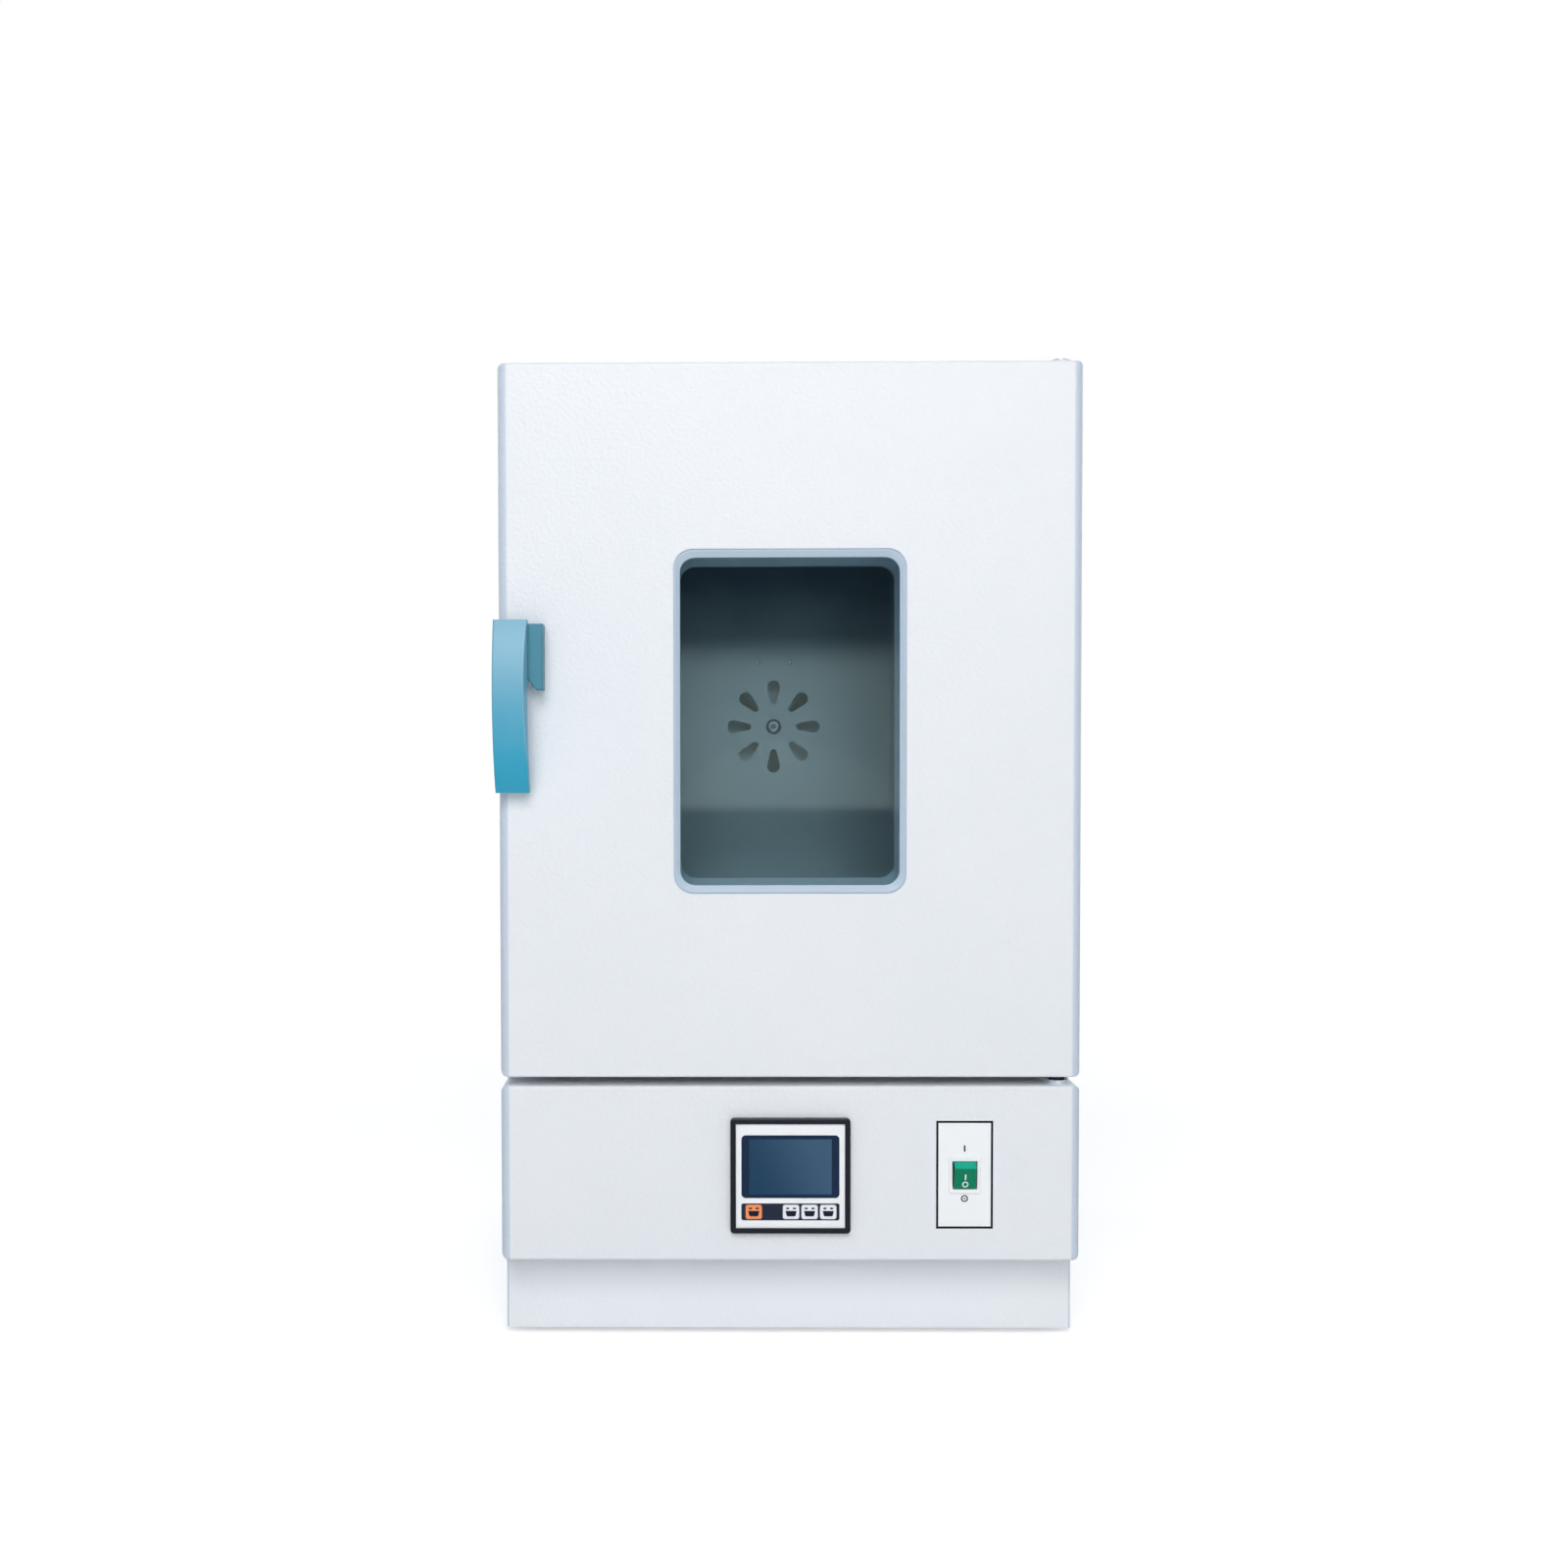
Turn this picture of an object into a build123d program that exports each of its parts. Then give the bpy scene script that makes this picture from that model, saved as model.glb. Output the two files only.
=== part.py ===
from build123d import *
import math
import os

# Hot air sterilizer: a bench cabinet with a heated chamber, a glazed door and a control panel below it.
# Millimetres, +Z up, the door faces -Y. While the pieces are made, X = 0 is the middle of the cabinet,
# Y = 0 is the front of the closed door and Z = 0 is the table. The last lines move the origin to the
# bottom centre of the whole object.

# Cabinet
cabinet_width = 465.0
cabinet_depth = 440.0
shell_sheet = 1.2
shell_edge_radius = 3.0
foot_height = 5.0
plinth_height = 65.0
panel_height = 141.0
door_gap = 7.0
door_height = 569.0
door_top_gap = 0.6
seal_gap = 6.0

# Seats and running clearances
seat = 0.3
running = 0.05
screw_head_height = 1.4
screw_head_radius = 3.2
screw_shank_radius = 1.9
screw_head_bevel = 0.6
cut_over = 5.0

# Door
door_thickness = 50.0
door_sheet = 1.2
door_side_radius = 9.0
door_lip_radius = 2.4
door_corner_radius = 6.0
door_return = 14.0
inner_sheet = 1.2
window_cut_width = 185.5
window_cut_height = 274.4
window_cut_radius = 15.6
bezel_side_width = 5.2
bezel_end_width = 6.6
bezel_radius = 12.0
bezel_gap = 0.9
bezel_rim = 0.6
bezel_recess = 0.8
bezel_flange = 9.0
bezel_flange_depth = 2.4
glass_thickness = 4.0
tunnel_side_step = 5.25
tunnel_end_step = 9.7
view_radius = 12.0
tunnel_sheet = 1.2
glass_overlap = 10.0
retainer_band = 18.0
retainer_sheet = 1.5
retainer_screw_columns = 3
retainer_screw_rows = 4

# Door seal
seal_margin = 7.0
seal_width = 12.0
seal_radius = 18.0

# Hinges
hinge_inset = 16.5
hinge_plate_width = 30.0
hinge_plate_thickness = 3.0
top_plate_thickness = 2.0
hinge_nose_radius = 8.5
hinge_plate_shoulder = 46.0
hinge_plate_reach = 110.0
hinge_pin_radius = 4.0
hinge_pin_length = 24.0
hinge_head_radius = 5.5
hinge_head_height = 1.0
bush_radius = 7.0
bush_length = 24.0
washer_radius = 6.5
hinge_screw_pitch = 24.0
hinge_screw_first = 72.0

# Door handle and latch
handle_inset = 37.5
handle_block_width = 17.0
handle_block_height = 52.0
handle_block_depth = 20.0
handle_block_top = 579.6
handle_block_cut_width = 11.9
handle_block_cut_height = 14.3
handle_block_edge = 1.2
handle_block_wall = 2.0
handle_block_lap = 1.0
handle_pin_from_right = 8.0
handle_pin_depth = 11.0
handle_pin_radius = 2.0
handle_pin_cover = 3.0
handle_lug_radius = 4.8
handle_lug_height = 18.0
lug_neck_radius = 3.3
lug_neck_length = 11.5
lever_overhang = 1.0
lever_width = 24.6
lever_side_flare = 2.1
lever_rise = 2.9
lever_length = 136.0
lever_crown_share = 0.62
lever_front_top = -26.0
lever_front_crown = -37.0
lever_front_bottom = -14.0
lever_thickness = 12.0
lever_crown_extra = 2.5
lever_edge_radius = 1.6
lever_pocket_room = 0.8
lever_pocket_side = 5.0
lug_root_inset = 10.0
lug_root_depth = 11.0
lug_root_radius = 3.0
lug_slot_room = 0.7
latch_sheet = 1.2
latch_front = -31.0
latch_bend_front = -20.0
latch_bend_length = 7.0
latch_bend_step = 1.1
latch_back = 79.0
latch_height = 24.0
latch_notch_room = 0.6
latch_corner_radius = 3.0
latch_clearance = 0.3
strike_depth = 72.0
strike_radius = 3.0
strike_reach = 4.5
strike_flange_radius = 7.0

# Chamber
chamber_width = 310.0
chamber_height = 350.0
chamber_depth = 330.0
liner_sheet = 1.0
liner_flange = 16.0
liner_radius = 5.0
insulation_rear = 48.0
insulation_side_gap = 3.0
divider_sheet = 1.2
bulkhead_sheet = 1.2

# Fan, baffle and heater
baffle_setback = 290.0
baffle_sheet = 1.2
baffle_side_gap = 1.0
baffle_end_gap = 10.0
baffle_tab = 10.0
baffle_wall_inset = 4.0
baffle_window_height = 120.0
baffle_window_margin = 8.0
petal_count = 8
petal_inner = 22.0
petal_outer = 45.0
petal_head_radius = 6.3
petal_tail_radius = 3.2
hub_hole_radius = 7.4
baffle_screw_spread = 31.0
baffle_screw_rise = 63.0
baffle_screw_radius = 2.2
impeller_radius = 62.0
impeller_hub_radius = 11.0
impeller_hub_length = 16.0
impeller_gap = 4.0
blade_count = 3
blade_sheet = 1.2
blade_root_pitch = 34.0
blade_tip_pitch = 22.0
blade_chord_share = 0.70
blade_camber = 2.2
shaft_radius = 4.0
shaft_hole_radius = 6.0
nut_radius = 6.6
nut_height = 9.0
heater_ring_radius = 82.0
heater_tube_radius = 3.25
heater_gap_angle = 16.0
heater_lead = 62.0
gland_radius = 7.0
gland_length = 8.0
probe_radius = 2.4
probe_inset = 15.0
probe_drop = 32.0
probe_reach = 24.0
motor_radius = 34.0
motor_length = 26.0
stack_width = 82.0
stack_height = 70.0
stack_length = 22.0
motor_leg = 9.0
motor_leg_radius = 3.0
rotor_end_gap = 3.0

# Shelf and its racks
rack_post_width = 12.0
rack_post_sheet = 3.0
rack_front = 24.0
rack_rear_gap = 16.0
rung_radius = 2.5
rung_pitch = 60.0
rung_first = 10.5
rack_top_gap = 30.0
rack_post_inset = 30.0
rack_post_overrun = 20.0
shelf_rod_radius = 2.5
shelf_wire_radius = 1.5
shelf_wire_count = 13
shelf_front_gap = 25.0
shelf_rear_gap = 12.0
shelf_lift = 5.2

# Exhaust vent
vent_tube_radius = 16.0
vent_tube_sheet = 1.5
vent_setback = 244.0
vent_flange_radius = 27.0
vent_flange_sheet = 1.5
vent_ring_radius = 22.0
vent_ring_wall = 2.0
vent_ring_height = 14.0
vent_cap_wall = 2.5
vent_port_count = 4
vent_port_width = 14.0
vent_port_height = 8.0
vent_flute_count = 20
vent_flute_radius = 2.0
vent_flute_depth = 0.8

# Control panel and controller
panel_sheet = 1.2
controller_rise = 69.5
controller_width = 96.0
controller_height = 92.6
controller_frame_band = 4.3
controller_frame_depth = 6.0
controller_frame_radius = 3.0
controller_case_width = 90.0
controller_case_height = 86.0
controller_case_depth = 68.0
controller_nose = 3.0
face_sheet = 1.5
lens_width = 78.4
lens_height = 50.7
lens_radius = 3.5
lens_rise = 7.5
strip_width = 78.5
strip_height = 13.8
strip_radius = 1.6
strip_drop = 28.9
key_width = 13.2
key_height = 11.5
key_radius = 2.0
key_thickness = 3.2
key_proud = 0.7
key_travel = 0.8
key_clearance = 0.3
key_run_offset = -29.3
key_set_offset = 0.5
key_down_offset = 15.3
key_up_offset = 30.2
panel_screw_inset = 12.5
panel_screw_offset = 70.0
panel_screw_setback = 14.0

# Power switch
switch_x = 139.5
switch_rise = 69.8
plate_width = 45.9
plate_height = 87.4
plate_sheet = 0.8
plate_radius = 2.0
switch_width = 25.8
switch_height = 29.6
switch_flange = 2.0
switch_corner_radius = 1.5
switch_edge_radius = 0.8
switch_body_width = 22.0
switch_body_height = 27.0
switch_body_depth = 26.0
rocker_width = 17.2
rocker_radius = 11.0
rocker_flat = 6.4
rocker_clearance = 0.3
rocker_side_gap = 1.4
rocker_throw = 32.0
rocker_pivot_depth = 2.3

# Plinth and feet
plinth_setback = 35.0
plinth_inset = 1.0
plinth_sheet = 1.5
plinth_flange = 12.0
plinth_edge_radius = 2.0
foot_radius = 15.0
foot_taper = 2.0
foot_boss_radius = 4.0
foot_boss_height = 4.0
foot_inset = 42.0

# Rear cover and electrics
cover_sheet = 1.2
louvre_length = 70.0
louvre_depth = 4.0
louvre_sheet = 0.8
louvre_slot = 3.0
louvre_pitch = 14.0
louvre_rows = 7
louvre_column_spread = 180.0
side_slot_length = 60.0
side_slot_height = 4.0
side_slot_pitch = 12.0
side_slot_rows = 5
side_slot_inset = 90.0
cover_screw_inset = 10.0
inlet_inset = 82.5
inlet_rise = 48.0
inlet_flange_width = 48.0
inlet_flange_height = 28.0
inlet_flange_sheet = 3.0
inlet_body_width = 28.0
inlet_body_height = 20.0
inlet_body_depth = 24.0
socket_width = 24.2
socket_height = 16.2
socket_depth = 17.0
socket_pin_width = 2.0
socket_pin_height = 4.0
socket_pin_spread = 14.0
socket_pin_drop = 2.0
socket_earth_rise = 2.5
socket_chamfer = 4.0
socket_pin_length = 14.0
fuse_spacing = 50.0
fuse_radius = 8.0
fuse_body_radius = 6.0
fuse_cap_height = 7.0
fuse_body_length = 26.0

# Places worked out from the sizes above
half_width = cabinet_width / 2
panel_bottom = foot_height + plinth_height
panel_top = panel_bottom + panel_height
door_bottom = panel_top + door_gap
door_top = door_bottom + door_height
door_middle = (door_bottom + door_top) / 2
cabinet_top = door_top + door_top_gap
cabinet_middle = (panel_bottom + cabinet_top) / 2
frame_front = door_thickness + seal_gap
frame_back = frame_front + shell_sheet
cabinet_rear = frame_front + cabinet_depth
liner_back = frame_back + chamber_depth
bulkhead_front = liner_back + liner_sheet + insulation_rear
bulkhead_back = bulkhead_front + bulkhead_sheet
insulation_top = cabinet_top - shell_sheet - seat
baffle_front = frame_back + baffle_setback
baffle_back = baffle_front + baffle_sheet
chamber_floor = door_middle - chamber_height / 2
chamber_ceiling = door_middle + chamber_height / 2
hinge_x = half_width - hinge_inset
hinge_y = hinge_inset
bush_depth = bush_length
inner_panel_front = door_thickness - inner_sheet
inner_glass_back = inner_panel_front
inner_glass_front = inner_glass_back - glass_thickness
outer_glass_front = door_sheet + seat + bezel_flange_depth
outer_glass_back = outer_glass_front + glass_thickness
view_width = window_cut_width - 2 * tunnel_side_step
view_height = window_cut_height - 2 * tunnel_end_step
controller_z = panel_bottom + controller_rise
switch_z = panel_bottom + switch_rise
handle_right = -half_width + handle_inset
handle_left = handle_right - handle_block_width
lever_left = -half_width - lever_overhang
lever_right = lever_left + lever_width
handle_pin_x = handle_right - handle_pin_from_right
handle_pin_y = -handle_pin_depth
lug_z = handle_block_top - handle_block_height / 2
lever_top = handle_block_top + lever_rise
lever_bottom = lever_top - lever_length
latch_x = lever_left - latch_bend_step
shelf_z = chamber_floor + rung_first + shelf_lift
vent_y = frame_back + vent_setback
divider_top = panel_top
probe_x = chamber_width / 2 - probe_inset
probe_z = chamber_ceiling - probe_drop
inlet_x = -half_width + inlet_inset
inlet_z = panel_bottom + inlet_rise
fuse_x = inlet_x + fuse_spacing
panel_screw_side = half_width - panel_screw_inset
panel_screw_places = (-panel_screw_side, -panel_screw_offset, panel_screw_offset, panel_screw_side)
key_offsets = {"key_run": key_run_offset, "key_set": key_set_offset,
               "key_down": key_down_offset, "key_up": key_up_offset}


def span(x, y, z):
    """A box between a low and a high limit on each axis."""
    middle = ((x[0] + x[1]) / 2, (y[0] + y[1]) / 2, (z[0] + z[1]) / 2)
    return Pos(*middle) * Box(x[1] - x[0], y[1] - y[0], z[1] - z[0])


def rod(radius, start, end):
    """A round bar from one point to another."""
    axis = Vector(*end) - Vector(*start)
    seat_plane = Plane(origin=start, z_dir=axis)
    return seat_plane * Cylinder(radius, axis.length, align=(Align.CENTER, Align.CENTER, Align.MIN))


def post(radius, x, y, z_low, z_high):
    """A round upright bar."""
    return rod(radius, (x, y, z_low), (x, y, z_high))


def spindle(radius, x, z, y_front, y_back):
    """A round bar from front to back."""
    return rod(radius, (x, y_front, z), (x, y_back, z))


def board(x, z, width, height, radius=0):
    """A rectangular outline centred at (x, z), with round corners where a radius is given."""
    return Pos(x, z) * (RectangleRounded(width, height, radius) if radius else Rectangle(width, height))


def upright(y):
    """The drawing plane that faces the door's front at depth y: X to the right, Z up."""
    return Plane(origin=(0, y, 0), x_dir=(1, 0, 0), z_dir=(0, -1, 0))


def slab(outline, y_front, y_back):
    """An upright outline, drawn in X and Z, made solid from y_front to y_back."""
    return extrude(upright(y_back) * outline, amount=y_back - y_front)


def layer(outline, z_low, z_high):
    """A flat outline, drawn in X and Y, made solid from z_low to z_high."""
    return extrude(Plane.XY.offset(z_low) * outline, amount=z_high - z_low)


def beam(outline, x_low, x_high):
    """A side outline, drawn in Y and Z, made solid from x_low to x_high."""
    return extrude(Plane.YZ.offset(x_low) * outline, amount=x_high - x_low)


def screw(x, y, z, direction, head_radius=screw_head_radius, length=8.0):
    """A screw whose bevelled head sits on a face at (x, y, z) and points along direction."""
    face = Plane(origin=(x, y, z), z_dir=direction)
    flat = (Align.CENTER, Align.CENTER, Align.MIN)
    head = Cylinder(head_radius, screw_head_height, align=flat)
    head = chamfer(head.edges().group_by(Axis.Z)[-1], screw_head_bevel)
    shank = Pos(0, 0, -length) * Cylinder(screw_shank_radius, length, align=flat)
    return face * (head + shank)


def screw_hole(x, y, z, direction, depth):
    """Clearance for a screw's shank, behind a face at (x, y, z)."""
    face = Plane(origin=(x, y, z), z_dir=direction)
    return face * Cylinder(screw_shank_radius + running, 2 * depth)


def pan_block(width, height, y_front, y_back, z_middle, side_radius, lip_radius, corner_radius):
    """The outside of a folded pan: round upright edges, small bends above and below, eased corners."""
    outline = slab(Pos(0, z_middle) * RectangleRounded(width, height, corner_radius), y_front, y_back)
    plan = Pos(0, (y_front + y_back) / 2) * Rectangle(width, y_back - y_front)
    plan = fillet(plan.vertices().sort_by(Axis.Y)[:2], side_radius)
    wrap = layer(plan, z_middle - height / 2, z_middle + height / 2)
    bends = wrap.edges().filter_by(Axis.X).group_by(Axis.Y)[0]
    return outline & fillet(bends, lip_radius)


def folded_pan(width, height, depth, sheet, z_middle):
    """A sheet pan with its front at Y = 0 and its back open."""
    outside = pan_block(width, height, 0, depth, z_middle,
                        door_side_radius, door_lip_radius, door_corner_radius)
    inside = pan_block(width - 2 * sheet, height - 2 * sheet, sheet, depth + sheet, z_middle,
                       door_side_radius - sheet, door_lip_radius - sheet, door_corner_radius - sheet)
    return outside - inside


def cabinet_outline(inset):
    """The cabinet's outline from the front, with its two top edges bent round."""
    width = cabinet_width - 2 * inset
    height = cabinet_top - panel_bottom - 2 * inset
    outline = Pos(0, cabinet_middle) * Rectangle(width, height)
    return fillet(outline.vertices().sort_by(Axis.Y)[2:], shell_edge_radius - inset)


def window_outline(width, height, radius):
    """An outline centred on the door's window."""
    return Pos(0, door_middle) * RectangleRounded(width, height, radius)


def hinge_outline(clearance):
    """One hinge plate from above: a broad root that narrows to a round nose at the pin."""
    width = hinge_plate_width + 2 * clearance
    front = hinge_plate_shoulder - clearance
    back = hinge_plate_reach + clearance
    root = Pos(hinge_x, (front + back) / 2) * Rectangle(width, back - front)
    nose = Pos(hinge_x, hinge_y) * Circle(hinge_nose_radius + clearance)
    return make_hull((root + nose).edges())


# Cabinet

def make_cabinet_shell():
    """The wrap-round outer case: both sides, top and bottom, with vent slots low in the sides."""
    shell = slab(cabinet_outline(0) - cabinet_outline(shell_sheet), frame_back, cabinet_rear)
    for row in range(side_slot_rows):
        z = panel_bottom + panel_height / 2 + (row - (side_slot_rows - 1) / 2) * side_slot_pitch
        for y in (frame_back + side_slot_inset, cabinet_rear - side_slot_inset):
            slot = Pos(y, z) * SlotOverall(side_slot_length, side_slot_height)
            shell -= beam(slot, -half_width - 1, half_width + 1)
    shell -= rod(vent_tube_radius + seat, (0, vent_y, cabinet_top - 5), (0, vent_y, cabinet_top + 5))
    strike_bore = strike_radius + running
    shell -= rod(strike_bore, (-half_width - 1, strike_depth, lug_z), (-half_width + 5, strike_depth, lug_z))
    for x, y in hinge_screw_places():
        shell -= screw_hole(x, y, cabinet_top, (0, 0, 1), 4)
    for x, z in cover_screw_places():
        for direction in (-1, 1):
            if abs(x) > half_width - 2 * cover_screw_inset and direction * x > 0:
                ends = (x - direction * cover_screw_inset, x + direction * (cover_screw_inset - shell_sheet))
                shell += span(sorted(ends),
                              (cabinet_rear - 2 * shell_sheet, cabinet_rear),
                              (z - cover_screw_inset, z + cover_screw_inset))
    for x, z in cover_screw_places():
        shell -= screw_hole(x, cabinet_rear, z, (0, 1, 0), 8)
    return shell


def make_front_frame():
    """The plate round the chamber's mouth that the door seal presses on."""
    upper = Pos(0, (panel_top + cabinet_top) / 2) * Rectangle(cabinet_width, cabinet_top - panel_top)
    mouth = Pos(0, door_middle) * RectangleRounded(chamber_width, chamber_height, liner_radius)
    frame = slab((cabinet_outline(0) & upper) - mouth, frame_front, frame_back)
    notch_low = (hinge_x - hinge_plate_width / 2 - seat, hinge_x + hinge_plate_width / 2 + seat)
    frame -= span(notch_low, (frame_front - 1, frame_back + 1),
                  (panel_top - 1, panel_top + hinge_plate_thickness + seat))
    return frame


def make_chamber_liner():
    """The chamber's inner box with a flange behind the front frame."""
    outer = Pos(0, door_middle) * RectangleRounded(chamber_width + 2 * liner_sheet,
                                                   chamber_height + 2 * liner_sheet,
                                                   liner_radius + liner_sheet)
    inner = Pos(0, door_middle) * RectangleRounded(chamber_width, chamber_height, liner_radius)
    flange = Pos(0, door_middle) * RectangleRounded(chamber_width + 2 * liner_flange,
                                                    chamber_height + 2 * liner_flange, liner_radius)
    liner = slab(outer, frame_back, liner_back + liner_sheet) - slab(inner, frame_back, liner_back)
    liner += slab(flange - inner, frame_back, frame_back + liner_sheet)
    liner -= rod(shaft_hole_radius, (0, liner_back - 1, door_middle), (0, liner_back + 5, door_middle))
    for x, z in heater_lead_places():
        liner -= rod(heater_tube_radius + 1, (x, liner_back - 1, z), (x, liner_back + 5, z))
    liner -= rod(probe_radius + seat, (probe_x, liner_back - 1, probe_z), (probe_x, liner_back + 5, probe_z))
    liner -= rod(vent_tube_radius + seat, (0, vent_y, chamber_ceiling - 1), (0, vent_y, chamber_ceiling + 5))
    return liner


def make_insulation():
    """The mineral wool block that fills the space round the liner."""
    half = half_width - shell_sheet - insulation_side_gap
    block = span((-half, half), (frame_back + liner_sheet + seat, bulkhead_front - seat),
                 (divider_top, insulation_top))
    pocket = Pos(0, door_middle) * RectangleRounded(chamber_width + 2 * (liner_sheet + seat),
                                                    chamber_height + 2 * (liner_sheet + seat),
                                                    liner_radius + liner_sheet + seat)
    block -= slab(pocket, frame_back, liner_back + liner_sheet + seat)
    block -= rod(shaft_hole_radius + 4, (0, liner_back, door_middle), (0, bulkhead_back, door_middle))
    for x, z in heater_lead_places():
        block -= rod(gland_radius + seat, (x, liner_back, z), (x, bulkhead_back, z))
    block -= rod(probe_radius + 1, (probe_x, liner_back, probe_z), (probe_x, bulkhead_back, probe_z))
    block -= rod(vent_tube_radius + 1, (0, vent_y, chamber_ceiling), (0, vent_y, cabinet_top))
    block -= layer(hinge_outline(2), divider_top - 1, divider_top + hinge_plate_thickness + 2)
    for x, y in hinge_screw_places():
        block -= rod(screw_shank_radius + 1, (x, y, cabinet_top - 14), (x, y, cabinet_top))
    return block


def make_divider():
    """The floor under the insulation, above the electrics."""
    half = half_width - shell_sheet - seat
    plate = span((-half, half), (frame_back, bulkhead_back), (divider_top - divider_sheet, divider_top))
    for x, y in hinge_screw_places():
        plate -= screw_hole(x, y, divider_top, (0, 0, 1), 4)
    return plate


def make_bulkhead():
    """The upright plate behind the insulation that carries the motor."""
    above = Pos(0, divider_top + cabinet_top) * Rectangle(cabinet_width, 2 * cabinet_top)
    plate = slab(cabinet_outline(shell_sheet + seat) & above, bulkhead_front, bulkhead_back)
    plate -= rod(shaft_hole_radius, (0, bulkhead_front - 1, door_middle), (0, bulkhead_back + 1, door_middle))
    for x, z in heater_lead_places():
        plate -= rod(gland_radius + seat, (x, bulkhead_front - 1, z), (x, bulkhead_back + 1, z))
    plate -= spindle(probe_radius + seat, probe_x, probe_z, bulkhead_front - 1, bulkhead_back + 1)
    return plate


def cover_screw_places():
    """Screws down both long sides of the rear cover."""
    low = panel_bottom + 2 * cover_screw_inset
    high = cabinet_top - 2 * cover_screw_inset
    side = half_width - cover_screw_inset
    return [(x, z) for x in (-side, side) for z in (low, (low + high) / 2, high)]


def make_louvre(x, z):
    """One pressed louvre: a quarter-round hood, open below, that stands out of the rear cover."""
    back = cabinet_rear + cover_sheet
    outer = Pos(back, z) * Circle(louvre_depth + louvre_sheet)
    inner = Pos(back, z) * Circle(louvre_depth)
    quarter = Pos(back + 10, z + 10) * Rectangle(20, 20)
    hood = beam((outer - inner) & quarter, x - louvre_length / 2, x + louvre_length / 2)
    cheek = beam(outer & quarter, x - louvre_length / 2, x - louvre_length / 2 + louvre_sheet)
    return hood + cheek + Pos(louvre_length - louvre_sheet, 0, 0) * cheek


def make_rear_cover():
    """The sheet over the motor space and the electrics, with rows of louvres and the inlet's cut-outs."""
    cover = slab(cabinet_outline(0), cabinet_rear, cabinet_rear + cover_sheet)
    for x in (-louvre_column_spread / 2, louvre_column_spread / 2):
        for row in range(louvre_rows):
            z = door_middle + (row - (louvre_rows - 1) / 2) * louvre_pitch
            slot_x = (x - louvre_length / 2 + louvre_sheet, x + louvre_length / 2 - louvre_sheet)
            cover -= span(slot_x, (cabinet_rear - 1, cabinet_rear + 5), (z, z + louvre_slot))
            cover += make_louvre(x, z)
    for x, z in cover_screw_places():
        cover -= screw_hole(x, cabinet_rear, z, (0, 1, 0), 4)
    cover -= span((inlet_x - inlet_body_width / 2 - seat, inlet_x + inlet_body_width / 2 + seat),
                  (cabinet_rear - 1, cabinet_rear + 5),
                  (inlet_z - inlet_body_height / 2 - seat, inlet_z + inlet_body_height / 2 + seat))
    cover -= spindle(fuse_body_radius + running, fuse_x, inlet_z, cabinet_rear - 1, cabinet_rear + 5)
    return cover


def make_cover_screws():
    """The screws that hold the rear cover."""
    back = cabinet_rear + cover_sheet
    return [screw(x, back, z, (0, 1, 0), length=4) for x, z in cover_screw_places()]


# Plinth and feet

def foot_places():
    """The four feet, set in from the plinth's corners."""
    side = half_width - foot_inset
    return [(x, y) for x in (-side, side) for y in (plinth_setback + foot_inset, cabinet_rear - foot_inset)]


def make_plinth():
    """The folded base tray, narrower than the front panel and set back under it."""
    width = cabinet_width - 2 * plinth_inset
    depth = cabinet_rear - plinth_setback
    middle = (cabinet_rear + plinth_setback) / 2
    outer = Pos(0, middle) * RectangleRounded(width, depth, plinth_edge_radius)
    inner = Pos(0, middle) * Rectangle(width - 2 * plinth_sheet, depth - 2 * plinth_sheet)
    opening = Pos(0, middle) * Rectangle(width - 2 * plinth_flange, depth - 2 * plinth_flange)
    tray = layer(outer, foot_height, panel_bottom)
    tray -= layer(inner, foot_height + plinth_sheet, panel_bottom - plinth_sheet)
    tray -= layer(opening, panel_bottom - 2 * plinth_sheet, panel_bottom + 1)
    for x, y in foot_places():
        tray -= rod(foot_boss_radius + running, (x, y, 0), (x, y, foot_height + 2 * plinth_sheet))
    for x in panel_screw_places:
        tray -= screw_hole(x, plinth_setback + plinth_flange / 2, panel_bottom, (0, 0, 1), 4)
    return tray


def make_feet():
    """Four tapered rubber feet with a plug through the tray."""
    feet = []
    for x, y in foot_places():
        pad = Cone(foot_radius - foot_taper, foot_radius, foot_height,
                   align=(Align.CENTER, Align.CENTER, Align.MIN))
        plug = rod(foot_boss_radius, (0, 0, foot_height - 1), (0, 0, foot_height + foot_boss_height))
        feet.append(Pos(x, y, 0) * (pad + plug))
    return feet


# Control panel

def key_place(name):
    """A key's centre on the controller's face."""
    return key_offsets[name], controller_z - strip_drop


def key_opening(name):
    """The outline that a key moves in."""
    x, z = key_place(name)
    return board(x, z, key_width + 2 * key_clearance, key_height + 2 * key_clearance, key_radius)


def make_control_panel():
    """The front panel below the door: a pan with cut-outs for the controller and the switch."""
    panel = folded_pan(cabinet_width, panel_height, frame_back, panel_sheet, (panel_bottom + panel_top) / 2)
    case_cut = board(0, controller_z, controller_case_width + 2 * seat, controller_case_height + 2 * seat)
    switch_cut = board(switch_x, switch_z, switch_body_width + 2 * seat, switch_body_height + 2 * seat)
    panel -= slab(case_cut + switch_cut, -1, panel_sheet + 1)
    for x in panel_screw_places:
        panel -= screw_hole(x, panel_screw_setback, panel_bottom, (0, 0, -1), 4)
    head_hole = hinge_head_radius + running
    return panel - post(head_hole, hinge_x, hinge_y, panel_top - 2 * panel_sheet, panel_top + 1)


def make_panel_screws():
    """The screws up through the panel's bottom flange."""
    return [screw(x, panel_screw_setback, panel_bottom, (0, 0, -1), length=6) for x in panel_screw_places]


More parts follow.
